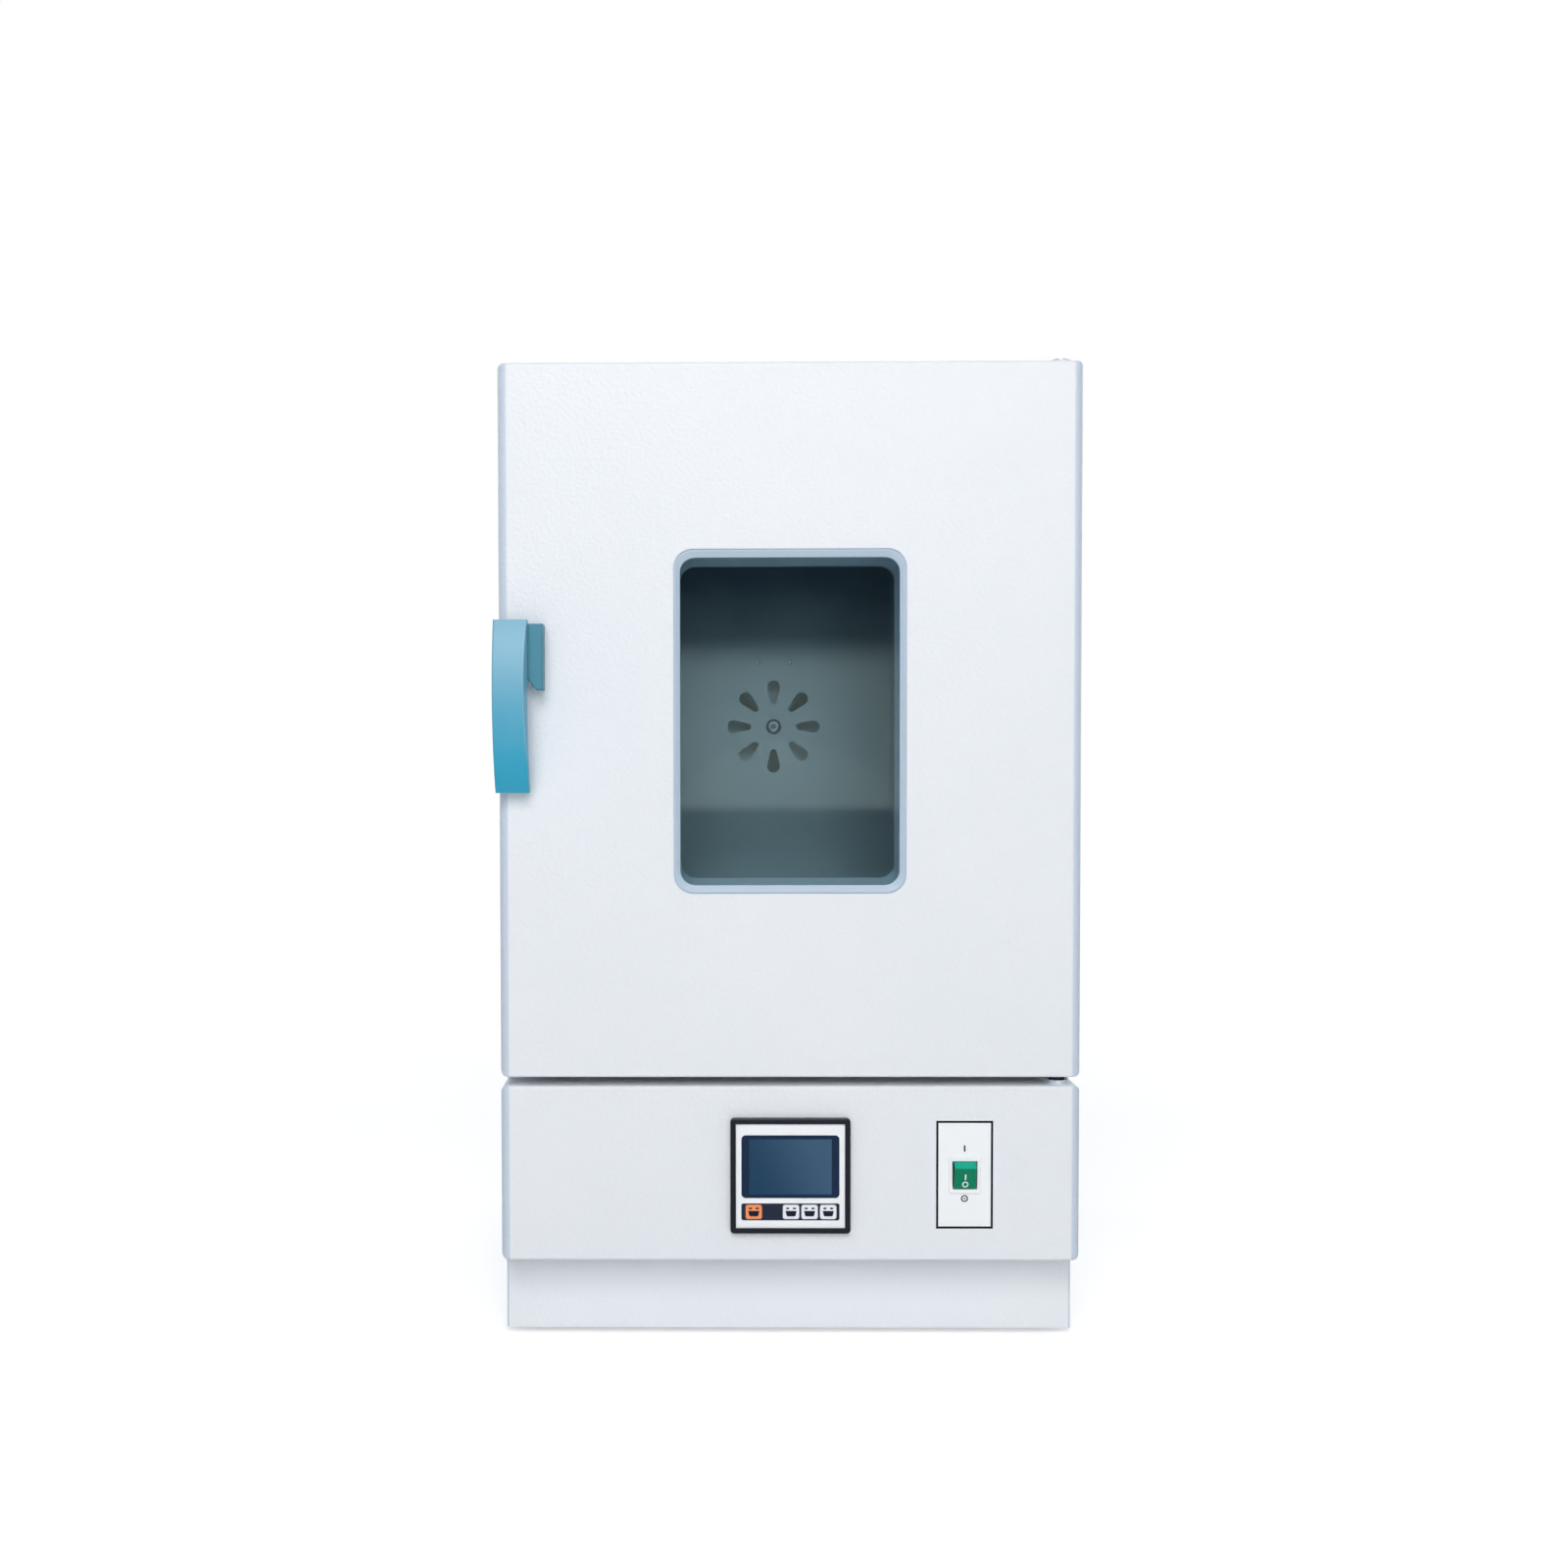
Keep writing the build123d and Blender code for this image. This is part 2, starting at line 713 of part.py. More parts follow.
def make_controller_frame():
    """The raised dark frame round the controller's face."""
    outer = board(0, controller_z, controller_width, controller_height, controller_frame_radius)
    inner = board(0, controller_z, controller_width - 2 * controller_frame_band,
                  controller_height - 2 * controller_frame_band)
    frame = slab(outer, -controller_frame_depth, 0)
    frame = fillet(frame.faces().sort_by(Axis.Y)[0].edges(), 1.2)
    return frame - slab(inner, -controller_frame_depth - 1, 1)


def make_controller_case():
    """The controller's case: a body behind the panel and a nose in the frame, with a well for each key."""
    body = slab(board(0, controller_z, controller_case_width, controller_case_height), 0, controller_case_depth)
    nose_width = controller_width - 2 * controller_frame_band - seat
    nose_height = controller_height - 2 * controller_frame_band - seat
    nose = slab(board(0, controller_z, nose_width, nose_height), -controller_nose, 0)
    case = body + nose
    well_depth = key_thickness - key_proud - face_sheet + key_travel + key_clearance
    for name in key_offsets:
        case -= slab(key_opening(name), -controller_nose - 1, -controller_nose + well_depth)
    return case


def make_controller_face():
    """The pale face plate with the display's and the key strip's openings."""
    width = controller_width - 2 * controller_frame_band - seat
    height = controller_height - 2 * controller_frame_band - seat
    outline = board(0, controller_z, width, height)
    outline -= board(0, controller_z + lens_rise, lens_width, lens_height, lens_radius)
    outline -= board(0, controller_z - strip_drop, strip_width, strip_height, strip_radius)
    return slab(outline, -controller_nose - face_sheet, -controller_nose)


def make_display_lens():
    """The dark display window, set flush in the face."""
    outline = board(0, controller_z + lens_rise, lens_width - seat, lens_height - seat, lens_radius)
    return slab(outline, -controller_nose - face_sheet + 0.2, -controller_nose)


def make_key_strip():
    """The dark strip round the four keys."""
    outline = board(0, controller_z - strip_drop, strip_width - seat, strip_height - seat, strip_radius)
    for name in key_offsets:
        outline -= key_opening(name)
    return slab(outline, -controller_nose - face_sheet + 0.2, -controller_nose)


def make_key(name):
    """One key cap with softened front edges."""
    x, z = key_place(name)
    front = -controller_nose - face_sheet - key_proud
    cap = slab(board(x, z, key_width, key_height, key_radius), front, front + key_thickness)
    return fillet(cap.faces().sort_by(Axis.Y)[0].edges(), 0.5)


def make_power_plate():
    """The plain plate round the power switch."""
    outline = board(switch_x, switch_z, plate_width, plate_height, plate_radius)
    outline -= board(switch_x, switch_z, switch_body_width + 2 * seat, switch_body_height + 2 * seat)
    return slab(outline, -plate_sheet, 0)


def switch_axis_y():
    """The depth of the rocker's axis behind the panel's front."""
    return -plate_sheet - switch_flange + rocker_pivot_depth


def make_switch_housing():
    """The switch's bezel and body, with a round well for the rocker."""
    front = -plate_sheet - switch_flange
    bezel = slab(board(switch_x, switch_z, switch_width, switch_height, switch_corner_radius), front, -plate_sheet)
    bezel = fillet(bezel.faces().sort_by(Axis.Y)[0].edges(), switch_edge_radius)
    body = slab(board(switch_x, switch_z, switch_body_width, switch_body_height), -plate_sheet, switch_body_depth)
    half = rocker_width / 2 + rocker_side_gap
    well_radius = rocker_radius + rocker_clearance
    axis_y = switch_axis_y()
    well = rod(well_radius, (switch_x - half, axis_y, switch_z), (switch_x + half, axis_y, switch_z))
    mouth = slab(board(switch_x, switch_z, 2 * half, 2 * well_radius), front - 1, axis_y)
    return (bezel + body) - (well + mouth)


def make_rocker():
    """The rocker: a round drum with one flat, turned so that its lower end is pressed in."""
    half = rocker_width / 2
    axis_y = switch_axis_y()
    drum = rod(rocker_radius, (-half, 0, 0), (half, 0, 0))
    drum -= span((-half - 1, half + 1), (-rocker_radius - 1, -rocker_flat),
                 (-rocker_radius - 1, rocker_radius + 1))
    crests = drum.faces().sort_by(Axis.Y)[0].edges()
    drum = fillet(crests, 0.8)
    return Pos(switch_x, axis_y, switch_z) * Rot(rocker_throw / 2, 0, 0) * drum


# Door

def make_door_skin():
    """The door's outer pan, with the window cut-out and a return flange at its back."""
    skin = folded_pan(cabinet_width, door_height, inner_panel_front, door_sheet, door_middle)
    skin -= slab(window_outline(window_cut_width, window_cut_height, window_cut_radius), -1, door_sheet + 1)
    rim = window_outline(cabinet_width, door_height, door_corner_radius)
    rim -= window_outline(cabinet_width - 2 * door_return, door_height - 2 * door_return, door_corner_radius)
    skin += slab(rim, inner_panel_front - door_sheet, inner_panel_front)
    for low, high in ((door_top - 5, door_top + 1), (door_bottom - 1, door_bottom + 5)):
        skin -= rod(bush_radius + running, (hinge_x, hinge_y, low), (hinge_x, hinge_y, high))
    return skin


def make_door_inner_panel():
    """The plain sheet that closes the door's back round the window."""
    plate = window_outline(cabinet_width, door_height, door_corner_radius)
    plate -= window_outline(view_width, view_height, view_radius)
    panel = slab(plate, inner_panel_front, door_thickness)
    for x, z in retainer_screw_places():
        panel -= screw_hole(x, door_thickness, z, (0, 1, 0), 6)
    return panel


def make_door_insulation():
    """The mineral wool inside the door, round the window."""
    outer = window_outline(cabinet_width - 2 * (door_sheet + seat), door_height - 2 * (door_sheet + seat),
                           door_corner_radius)
    room = bezel_flange + 1
    glazing = window_outline(window_cut_width + 2 * room, window_cut_height + 2 * room, window_cut_radius)
    block = slab(outer, door_side_radius, inner_panel_front - door_sheet - seat)
    block -= slab(glazing, 0, door_thickness)
    for low, high in ((door_top - bush_depth - 1, door_top), (door_bottom, door_bottom + bush_depth + 1)):
        block -= rod(bush_radius + 1, (hinge_x, hinge_y, low), (hinge_x, hinge_y, high))
    return block


def bezel_opening(grow):
    """The window bezel's inner opening."""
    width = window_cut_width - 2 * bezel_side_width + 2 * grow
    height = window_cut_height - 2 * bezel_end_width + 2 * grow
    return window_outline(width, height, bezel_radius + grow)


def make_window_bezel():
    """The moulded ring in the window cut-out: it slopes in to its opening, and its flange holds the glass."""
    flange = window_outline(window_cut_width + 2 * bezel_flange, window_cut_height + 2 * bezel_flange,
                            window_cut_radius + bezel_flange)
    body = window_outline(window_cut_width - 2 * bezel_gap, window_cut_height - 2 * bezel_gap,
                          window_cut_radius - bezel_gap)
    back = outer_glass_front
    ring = slab(flange, door_sheet + seat, back) + slab(body, bezel_recess, back)
    rim = bezel_gap + bezel_rim
    mouth_outline = window_outline(window_cut_width - 2 * rim, window_cut_height - 2 * rim, window_cut_radius - rim)
    mouth_front = upright(bezel_recess - 0.1) * mouth_outline
    mouth_back = upright(back) * bezel_opening(0)
    ring -= loft([mouth_front, mouth_back])
    return ring - slab(bezel_opening(0), 0, back + 1)


def make_glass(y_front, width, height, radius):
    """One flat pane."""
    return slab(window_outline(width, height, radius), y_front, y_front + glass_thickness)


def make_window_tunnel():
    """The folded sheet frame between the panes, wide at the front pane and narrow at the inner one."""
    wide_width = window_cut_width - 2 * bezel_side_width
    wide_height = window_cut_height - 2 * bezel_end_width
    front = outer_glass_back
    back = inner_glass_front

    def funnel(grow, y_low, y_high):
        wide = window_outline(wide_width + 2 * grow, wide_height + 2 * grow, view_radius + grow)
        narrow = window_outline(view_width + 2 * grow, view_height + 2 * grow, view_radius + grow)
        return loft([upright(y_low) * wide, upright(y_high) * narrow])

    tunnel = funnel(tunnel_sheet, front, back) - funnel(0, front, back)
    for y_low, y_high in ((front, front + tunnel_sheet), (back - tunnel_sheet, back)):
        rim = window_outline(view_width + 2 * glass_overlap, wide_height + 2 * glass_overlap, view_radius)
        hole = window_outline(wide_width + tunnel_sheet, wide_height + tunnel_sheet, view_radius)
        tunnel += slab(rim - hole, y_low, y_high)
    return tunnel


def retainer_screw_places():
    """The screws round the inner glass retainer."""
    half_x = view_width / 2 + retainer_band / 2
    half_z = view_height / 2 + retainer_band / 2
    places = []
    for column in range(retainer_screw_columns):
        x = -half_x + 2 * half_x * column / (retainer_screw_columns - 1)
        places += [(x, door_middle - half_z), (x, door_middle + half_z)]
    for row in range(1, retainer_screw_rows - 1):
        z = door_middle - half_z + 2 * half_z * row / (retainer_screw_rows - 1)
        places += [(-half_x, z), (half_x, z)]
    return places


def make_glass_retainer():
    """The band on the chamber side that holds the inner pane."""
    outer = window_outline(view_width + 2 * retainer_band, view_height + 2 * retainer_band,
                           view_radius + retainer_band / 2)
    band = slab(outer - window_outline(view_width, view_height, view_radius),
                door_thickness, door_thickness + retainer_sheet)
    for x, z in retainer_screw_places():
        band -= screw_hole(x, door_thickness, z, (0, 1, 0), 6)
    return band


def make_retainer_screws():
    """The screws through the retainer."""
    back = door_thickness + retainer_sheet
    return [screw(x, back, z, (0, 1, 0), head_radius=2.6, length=2.5) for x, z in retainer_screw_places()]


def make_door_seal():
    """The silicone seal on the door: a round bulb on a flat foot, all round the chamber's mouth."""
    inner_width = chamber_width + 2 * seal_margin
    inner_height = chamber_height + 2 * seal_margin
    foot_inner = window_outline(inner_width, inner_height, seal_radius)
    foot_outer = window_outline(inner_width + 2 * seal_width, inner_height + 2 * seal_width,
                                seal_radius + seal_width)
    bulb_inner = window_outline(inner_width + 4, inner_height + 4, seal_radius + 2)
    bulb_outer = window_outline(inner_width + 2 * seal_width - 4, inner_height + 2 * seal_width - 4,
                                seal_radius + seal_width - 2)
    foot = slab(foot_outer - foot_inner, door_thickness, door_thickness + 2)
    bulb = slab(bulb_outer - bulb_inner, door_thickness + 1, frame_front - seat)
    bulb = fillet(bulb.faces().sort_by(Axis.Y)[-1].edges(), 1.5)
    return foot + bulb


# Hinges

def hinge_screw_places():
    """The two screws of each hinge plate."""
    return [(hinge_x, hinge_screw_first + step * hinge_screw_pitch) for step in range(2)]


def make_hinge_plate(z_low, thickness):
    """One hinge plate, lying flat with its nose over or under the door's corner."""
    plate = layer(hinge_outline(0), z_low, z_low + thickness)
    plate -= rod(hinge_pin_radius + running, (hinge_x, hinge_y, z_low - 1), (hinge_x, hinge_y, z_low + 10))
    for x, y in hinge_screw_places():
        plate -= screw_hole(x, y, z_low, (0, 0, 1), 10)
    return plate


def make_hinge_pin(z_head, towards):
    """A hinge pin with a low head that sits at z_head; towards is 1 for a pin that points up."""
    tip = z_head + towards * hinge_pin_length
    outside = z_head - towards * hinge_head_height
    pin = rod(hinge_pin_radius, (hinge_x, hinge_y, z_head), (hinge_x, hinge_y, tip))
    head = rod(hinge_head_radius, (hinge_x, hinge_y, z_head), (hinge_x, hinge_y, outside))
    return pin + head


def make_hinge_bush(z_low, z_high):
    """A plain bush in the door for a hinge pin."""
    bush = rod(bush_radius, (hinge_x, hinge_y, z_low), (hinge_x, hinge_y, z_high))
    return bush - post(hinge_pin_radius + running, hinge_x, hinge_y, z_low - 1, z_high + 1)


def make_thrust_washer():
    """The washer that carries the door on the bottom hinge."""
    low = panel_top + hinge_plate_thickness
    washer = rod(washer_radius, (hinge_x, hinge_y, low), (hinge_x, hinge_y, door_bottom - seat))
    return washer - post(hinge_pin_radius + running, hinge_x, hinge_y, low - 1, door_bottom + 1)


def make_hinge_screws():
    """The screws of both hinge plates."""
    seats = (cabinet_top + top_plate_thickness, panel_top + hinge_plate_thickness)
    return [screw(x, y, z, (0, 0, 1), length=6) for z in seats for x, y in hinge_screw_places()]


# Handle and latch

def lever_profile():
    """The lever from the side: a bowed front and a nearly parallel bowed back, drawn in Y and Z."""
    crown_z = lever_bottom + (lever_top - lever_bottom) * lever_crown_share
    front = ThreePointArc((lever_front_top, lever_top), (lever_front_crown, crown_z),
                          (lever_front_bottom, lever_bottom))
    back = ThreePointArc((lever_front_bottom + lever_thickness, lever_bottom),
                         (lever_front_crown + lever_thickness + lever_crown_extra, crown_z),
                         (lever_front_top + lever_thickness, lever_top))
    top = Line(back @ 1, front @ 0)
    bottom = Line(front @ 1, back @ 0)
    return make_face(Wire([front, bottom, back, top]))


def lug_heights(room):
    """The lug's lower and upper height, with room on both sides."""
    return lug_z - handle_lug_height / 2 - room, lug_z + handle_lug_height / 2 + room


def make_handle_block():
    """The block on the door: its slot for the lever's lug is open to the left, behind the lever."""
    low = handle_block_top - handle_block_height
    outline = Polyline((handle_left, handle_block_top), (handle_left, low + handle_block_cut_height),
                       (handle_left + handle_block_cut_width, low), (handle_right, low),
                       (handle_right, handle_block_top), close=True)
    block = slab(make_face(outline), -handle_block_depth, 0)
    block = fillet(block.faces().sort_by(Axis.Y)[0].edges(), handle_block_edge)
    slot_right = handle_pin_x + handle_lug_radius + lug_slot_room
    slot_back = handle_pin_y + handle_lug_radius + lug_slot_room
    wall_left = lever_right + lever_side_flare - handle_block_lap
    block -= span((handle_left - 1, slot_right), (-handle_block_depth + handle_block_wall, slot_back),
                  lug_heights(seat))
    block -= span((handle_left - 1, wall_left), (-handle_block_depth - 1, slot_back), lug_heights(seat))
    bore = handle_pin_radius + running
    return block - post(bore, handle_pin_x, handle_pin_y, low + handle_pin_cover, handle_block_top - handle_pin_cover)


def make_handle_pin():
    """The upright pin that the lever turns on."""
    low = handle_block_top - handle_block_height
    return post(handle_pin_radius, handle_pin_x, handle_pin_y,
                low + handle_pin_cover, handle_block_top - handle_pin_cover)


def make_lug():
    """The lever's lug: an eye on the pin, a neck that leaves the slot and an arm into the lever's back."""
    eye = Pos(handle_pin_x, handle_pin_y) * Circle(handle_lug_radius)
    neck_start = Pos(handle_pin_x, handle_pin_y) * Circle(lug_neck_radius)
    elbow = Pos(handle_pin_x - lug_neck_length, handle_pin_y) * Circle(lug_neck_radius)
    root = Pos(lever_left + lug_root_inset, lever_front_crown + lug_root_depth) * Circle(lug_root_radius)
    outline = eye + make_hull((neck_start + elbow).edges()) + make_hull((elbow + root).edges())
    return layer(outline, *lug_heights(0))


def make_handle_lever():
    """The bowed lever, hollowed behind for the block, with the lug that turns on the pin."""
    bar = beam(lever_profile(), lever_left, lever_right + lever_side_flare)
    slope = lever_side_flare / lever_thickness
    front = lever_front_crown - cut_over
    plan = make_face(Polyline((lever_left, front), (lever_right - slope * cut_over, front),
                              (lever_right - slope * lever_front_crown, 0), (lever_left, 0), close=True))
    bar &= layer(plan, lever_bottom - cut_over, lever_top + cut_over)
    bar = fillet(bar.edges().filter_by(GeomType.CIRCLE), lever_edge_radius)
    bar -= span((handle_left - lever_pocket_side, handle_right), (-handle_block_depth - lever_pocket_room, 0),
                (handle_block_top - handle_block_height - 2 * lever_pocket_room,
                 handle_block_top + lever_pocket_room))
    bar -= span((lever_left - 1, lever_left + latch_sheet), (latch_front, 0),
                (lug_z - latch_height / 2, lug_z + latch_height / 2))
    bar += make_lug()
    bore = handle_pin_radius + running
    return bar - post(bore, handle_pin_x, handle_pin_y, lug_z - handle_lug_height, lug_z + handle_lug_height)


def make_latch_hook():
    """The latch strip: let into the lever's flank, bent out past the door's side, forked for the strike."""
    bend_back = latch_bend_front + latch_bend_length
    outer = [(lever_left, latch_front), (lever_left, latch_bend_front), (latch_x, bend_back), (latch_x, latch_back)]
    inner = [(x + latch_sheet, y) for x, y in reversed(outer)]
    plan = Polyline(*outer, *inner, close=True)
    strip = layer(make_face(plan), lug_z - latch_height / 2, lug_z + latch_height / 2)
    side = Pos((latch_front + latch_back) / 2, lug_z) * Rectangle(latch_back - latch_front, latch_height)
    side = fillet(side.vertices().sort_by(Axis.X)[2:], latch_corner_radius)
    notch_front = strike_depth - strike_radius - latch_notch_room
    notch_back = latch_back + latch_corner_radius
    side -= Pos((notch_front + notch_back) / 2, lug_z) * Rectangle(notch_back - notch_front,
                                                                    2 * (strike_radius + latch_clearance))
    return strip & beam(side, latch_x - 1, lever_left + latch_sheet + 1)


def make_strike_pin():
    """The strike on the cabinet's side, with its flange inside the shell."""
    inside = -half_width + shell_sheet
    pin = rod(strike_radius, (inside, strike_depth, lug_z), (-half_width - strike_reach, strike_depth, lug_z))
    flange = rod(strike_flange_radius, (inside, strike_depth, lug_z), (inside + 1.5, strike_depth, lug_z))
    return pin + flange


# Fan, baffle and heater

def make_baffle():
    """The plate in front of the fan: petal holes, a hole for the nut and folded feet on the rear wall."""
    width = chamber_width - 2 * baffle_side_gap
    height = chamber_height - 2 * baffle_end_gap
    outline = Pos(0, door_middle) * RectangleRounded(width, height, 3)
    tail = Pos(0, petal_inner + petal_tail_radius) * Circle(petal_tail_radius)
    head = Pos(0, petal_outer - petal_head_radius) * Circle(petal_head_radius)
    petal = make_hull((tail + head).edges())
    for index in range(petal_count):
        outline -= Pos(0, door_middle) * Rot(0, 0, 360 / petal_count * index) * petal
    outline -= Pos(0, door_middle) * Circle(hub_hole_radius)
    outline -= Pos(probe_x, probe_z) * Circle(probe_radius + seat)
    for side in (-1, 1):
        hole = Pos(side * baffle_screw_spread / 2, door_middle + baffle_screw_rise) * Circle(screw_shank_radius)
        outline -= hole
    baffle = slab(outline, baffle_front, baffle_back)
    for side in (-1, 1):
        edge = side * width / 2
        half_tall = height / 2 - baffle_wall_inset
        upright_span = (door_middle - half_tall, door_middle + half_tall)
        wall = span(sorted((edge, edge - side * baffle_sheet)), (baffle_back, liner_back), upright_span)
        foot = span(sorted((edge, edge - side * baffle_tab)), (liner_back - baffle_sheet, liner_back),
                    upright_span)
        window = span(sorted((edge + side * baffle_sheet, edge - side * 2 * baffle_sheet)),
                      (baffle_back + baffle_window_margin, liner_back - baffle_window_margin),
                      (door_middle - baffle_window_height / 2, door_middle + baffle_window_height / 2))
        baffle += wall + foot - window
    return baffle


def make_baffle_screws():
    """The two small screws above the petals."""
    z = door_middle + baffle_screw_rise
    half_spread = baffle_screw_spread / 2
    return [screw(x, baffle_front, z, (0, -1, 0), head_radius=baffle_screw_radius, length=1)
            for x in (-half_spread, half_spread)]


def impeller_middle():
    """The depth of the impeller's middle."""
    tip_chord = impeller_radius * blade_chord_share
    return baffle_back + impeller_gap + tip_chord * math.sin(math.radians(blade_tip_pitch)) / 2


def blade_section(radius, pitch):
    """A thin bowed strip across a blade at one radius, turned to its pitch."""
    half = radius * blade_chord_share / 2
    upper = ThreePointArc((-half, 0), (0, blade_camber), (half, 0))
    lower = ThreePointArc((half, -blade_sheet), (0, blade_camber - blade_sheet), (-half, -blade_sheet))
    outline = make_face(Wire([upper, Line(upper @ 1, lower @ 0), lower, Line(lower @ 1, upper @ 0)]))
    plane = Plane(origin=(0, 0, radius), x_dir=(1, 0, 0), z_dir=(0, 0, 1))
    return plane * Rot(0, 0, pitch) * outline


def make_impeller():
    """Three cambered, twisted blades on a hub, trimmed round."""
    middle = Pos(0, impeller_middle(), door_middle)
    hub = rod(impeller_hub_radius, (0, -impeller_hub_length / 2, 0), (0, impeller_hub_length / 2, 0))
    radii = (impeller_hub_radius * 0.8, impeller_radius * 0.55, impeller_radius + 2)
    twist = blade_tip_pitch - blade_root_pitch
    sections = []
    for radius in radii:
        share = (radius - radii[0]) / (radii[-1] - radii[0])
        sections.append(blade_section(radius, blade_root_pitch + twist * share))
    blade = loft(sections)
    tips = rod(impeller_radius, (0, -40, 0), (0, 40, 0))
    wheel = hub
    for index in range(blade_count):
        wheel += (Rot(0, 360 / blade_count * index + 180, 0) * blade) & tips
    wheel -= rod(shaft_radius, (0, -40, 0), (0, 40, 0))
    return middle * wheel


def make_impeller_nut():
    """The domed nut that shows in the baffle's middle hole."""
    base = impeller_middle() - impeller_hub_length / 2
    nut = rod(nut_radius, (0, base - nut_height, door_middle), (0, base, door_middle))
    nut = fillet(nut.edges().group_by(Axis.Y)[0], 2.4)
    dimple = Pos(0, base - nut_height, door_middle) * Sphere(2.4)
    return nut - dimple - spindle(shaft_radius, 0, door_middle, base - nut_height / 2, base + 1)


def motor_front():
    """The depth of the motor's front face."""
    return bulkhead_back + motor_leg


def make_motor_shaft():
    """The shaft from the nut through the rear wall and into the motor."""
    base = impeller_middle() - impeller_hub_length / 2
    return rod(shaft_radius, (0, base - nut_height / 2, door_middle),
               (0, motor_front() + motor_length - rotor_end_gap, door_middle))


def make_fan_motor():
    """The motor: a laminated stack between two round end housings, on four legs."""
    front = motor_front()
    core = rod(motor_radius, (0, front, door_middle), (0, front + motor_length, door_middle))
    core = fillet(core.edges().group_by(Axis.Y)[0], 3)
    stack = slab(Pos(0, door_middle) * RectangleRounded(stack_width, stack_height, 6),
                 front + (motor_length - stack_length) / 2, front + (motor_length + stack_length) / 2)
    motor = core + stack
    for x in (-1, 1):
        for z in (-1, 1):
            leg_x = x * (stack_width / 2 - 7)
            leg_z = door_middle + z * (stack_height / 2 - 7)
            motor += spindle(motor_leg_radius, leg_x, leg_z, bulkhead_back, front + motor_length)
    return motor - rod(shaft_radius + running, (0, front - 1, door_middle),
                       (0, front + motor_length - rotor_end_gap + 0.5, door_middle))


def heater_y():
    """The depth of the heater's ring."""
    return (baffle_back + liner_back) / 2


def heater_lead_places():
    """Where the heater's two ends pass through the rear wall."""
    half = math.radians(heater_gap_angle / 2)
    x = heater_ring_radius * math.sin(half)
    z = door_middle - heater_ring_radius * math.cos(half)
    return [(-x, z), (x, z)]


def make_heater():
    """The tubular heater: an open ring round the impeller whose ends turn back through the wall."""
    profile = Plane.XY * Pos(heater_ring_radius, 0) * Circle(heater_tube_radius)
    ring = revolve(profile, Axis.Y, 360 - heater_gap_angle)
    ring = Rot(0, 90 + heater_gap_angle / 2, 0) * ring
    heater = Pos(0, heater_y(), door_middle) * ring
    for x, z in heater_lead_places():
        heater += Pos(x, heater_y(), z) * Sphere(heater_tube_radius)
        heater += rod(heater_tube_radius, (x, heater_y(), z), (x, liner_back + heater_lead, z))
    return heater


def make_heater_glands():
    """The ceramic glands on the heater's ends."""
    glands = []
    for x, z in heater_lead_places():
        gland = rod(gland_radius, (x, liner_back + liner_sheet, z), (x, bulkhead_back + gland_length, z))
        glands.append(gland - spindle(heater_tube_radius + running, x, z, liner_back - 5, bulkhead_back + 40))
    return glands


def make_probe():
    """The temperature probe, through the rear wall and the baffle into the chamber."""
    z = probe_z
    sheath = rod(probe_radius, (probe_x, baffle_front - probe_reach, z), (probe_x, bulkhead_back + 12, z))
    collar = rod(probe_radius * 2.4, (probe_x, bulkhead_back, z), (probe_x, bulkhead_back + 6, z))
    return sheath + collar


# Shelf and racks

def rung_heights():
    """The height of each rung's middle, as many as the chamber takes."""
    rungs = int((chamber_height - rung_first - rack_top_gap) // rung_pitch) + 1
    return [chamber_floor + rung_first + index * rung_pitch for index in range(rungs)]


def make_rack(side):
    """One shelf rack: two flat posts on the side wall and a ladder of round rungs."""
    wall = side * (chamber_width / 2 - seat)
    inner = wall - side * rack_post_sheet
    front = frame_back + rack_front
    back = baffle_front - rack_rear_gap
    high = rung_heights()[-1] + rack_post_overrun
    rack = None
    for y in (front + rack_post_inset, back - rack_post_inset):
        post = span(sorted((wall, inner)), (y - rack_post_width / 2, y + rack_post_width / 2),
                    (chamber_floor + liner_radius, high))
        rack = post if rack is None else rack + post
    for z in rung_heights():
        x = inner - side * (rung_radius - 0.5)
        rack += rod(rung_radius, (x, front, z), (x, back, z))
    return rack


def make_shelf():
    """The wire shelf: a round-bar frame with a row of thin wires from front to back."""
    side = chamber_width / 2 - seat - rack_post_sheet - 1 - shelf_rod_radius
    front = frame_back + shelf_front_gap
    back = baffle_front - shelf_rear_gap
    shelf = rod(shelf_rod_radius, (-side, front, shelf_z), (side, front, shelf_z))
    shelf += rod(shelf_rod_radius, (-side, back, shelf_z), (side, back, shelf_z))
    for x in (-side, side):
        shelf += rod(shelf_rod_radius, (x, front, shelf_z), (x, back, shelf_z))
        for y in (front, back):
            shelf += Pos(x, y, shelf_z) * Sphere(shelf_rod_radius)
    for index in range(1, shelf_wire_count + 1):
        x = -side + 2 * side * index / (shelf_wire_count + 1)
        shelf += rod(shelf_wire_radius, (x, front, shelf_z), (x, back, shelf_z))
    return shelf


# Exhaust vent

def make_vent_tube():
    """The exhaust tube from the chamber's ceiling, with a flange on the cabinet's top."""
    low = chamber_ceiling
    flange_top = cabinet_top + vent_flange_sheet
    tube = rod(vent_tube_radius, (0, vent_y, low), (0, vent_y, flange_top))
    tube += rod(vent_flange_radius, (0, vent_y, cabinet_top), (0, vent_y, flange_top))
    return tube - rod(vent_tube_radius - vent_tube_sheet, (0, vent_y, low - 1), (0, vent_y, flange_top + 1))


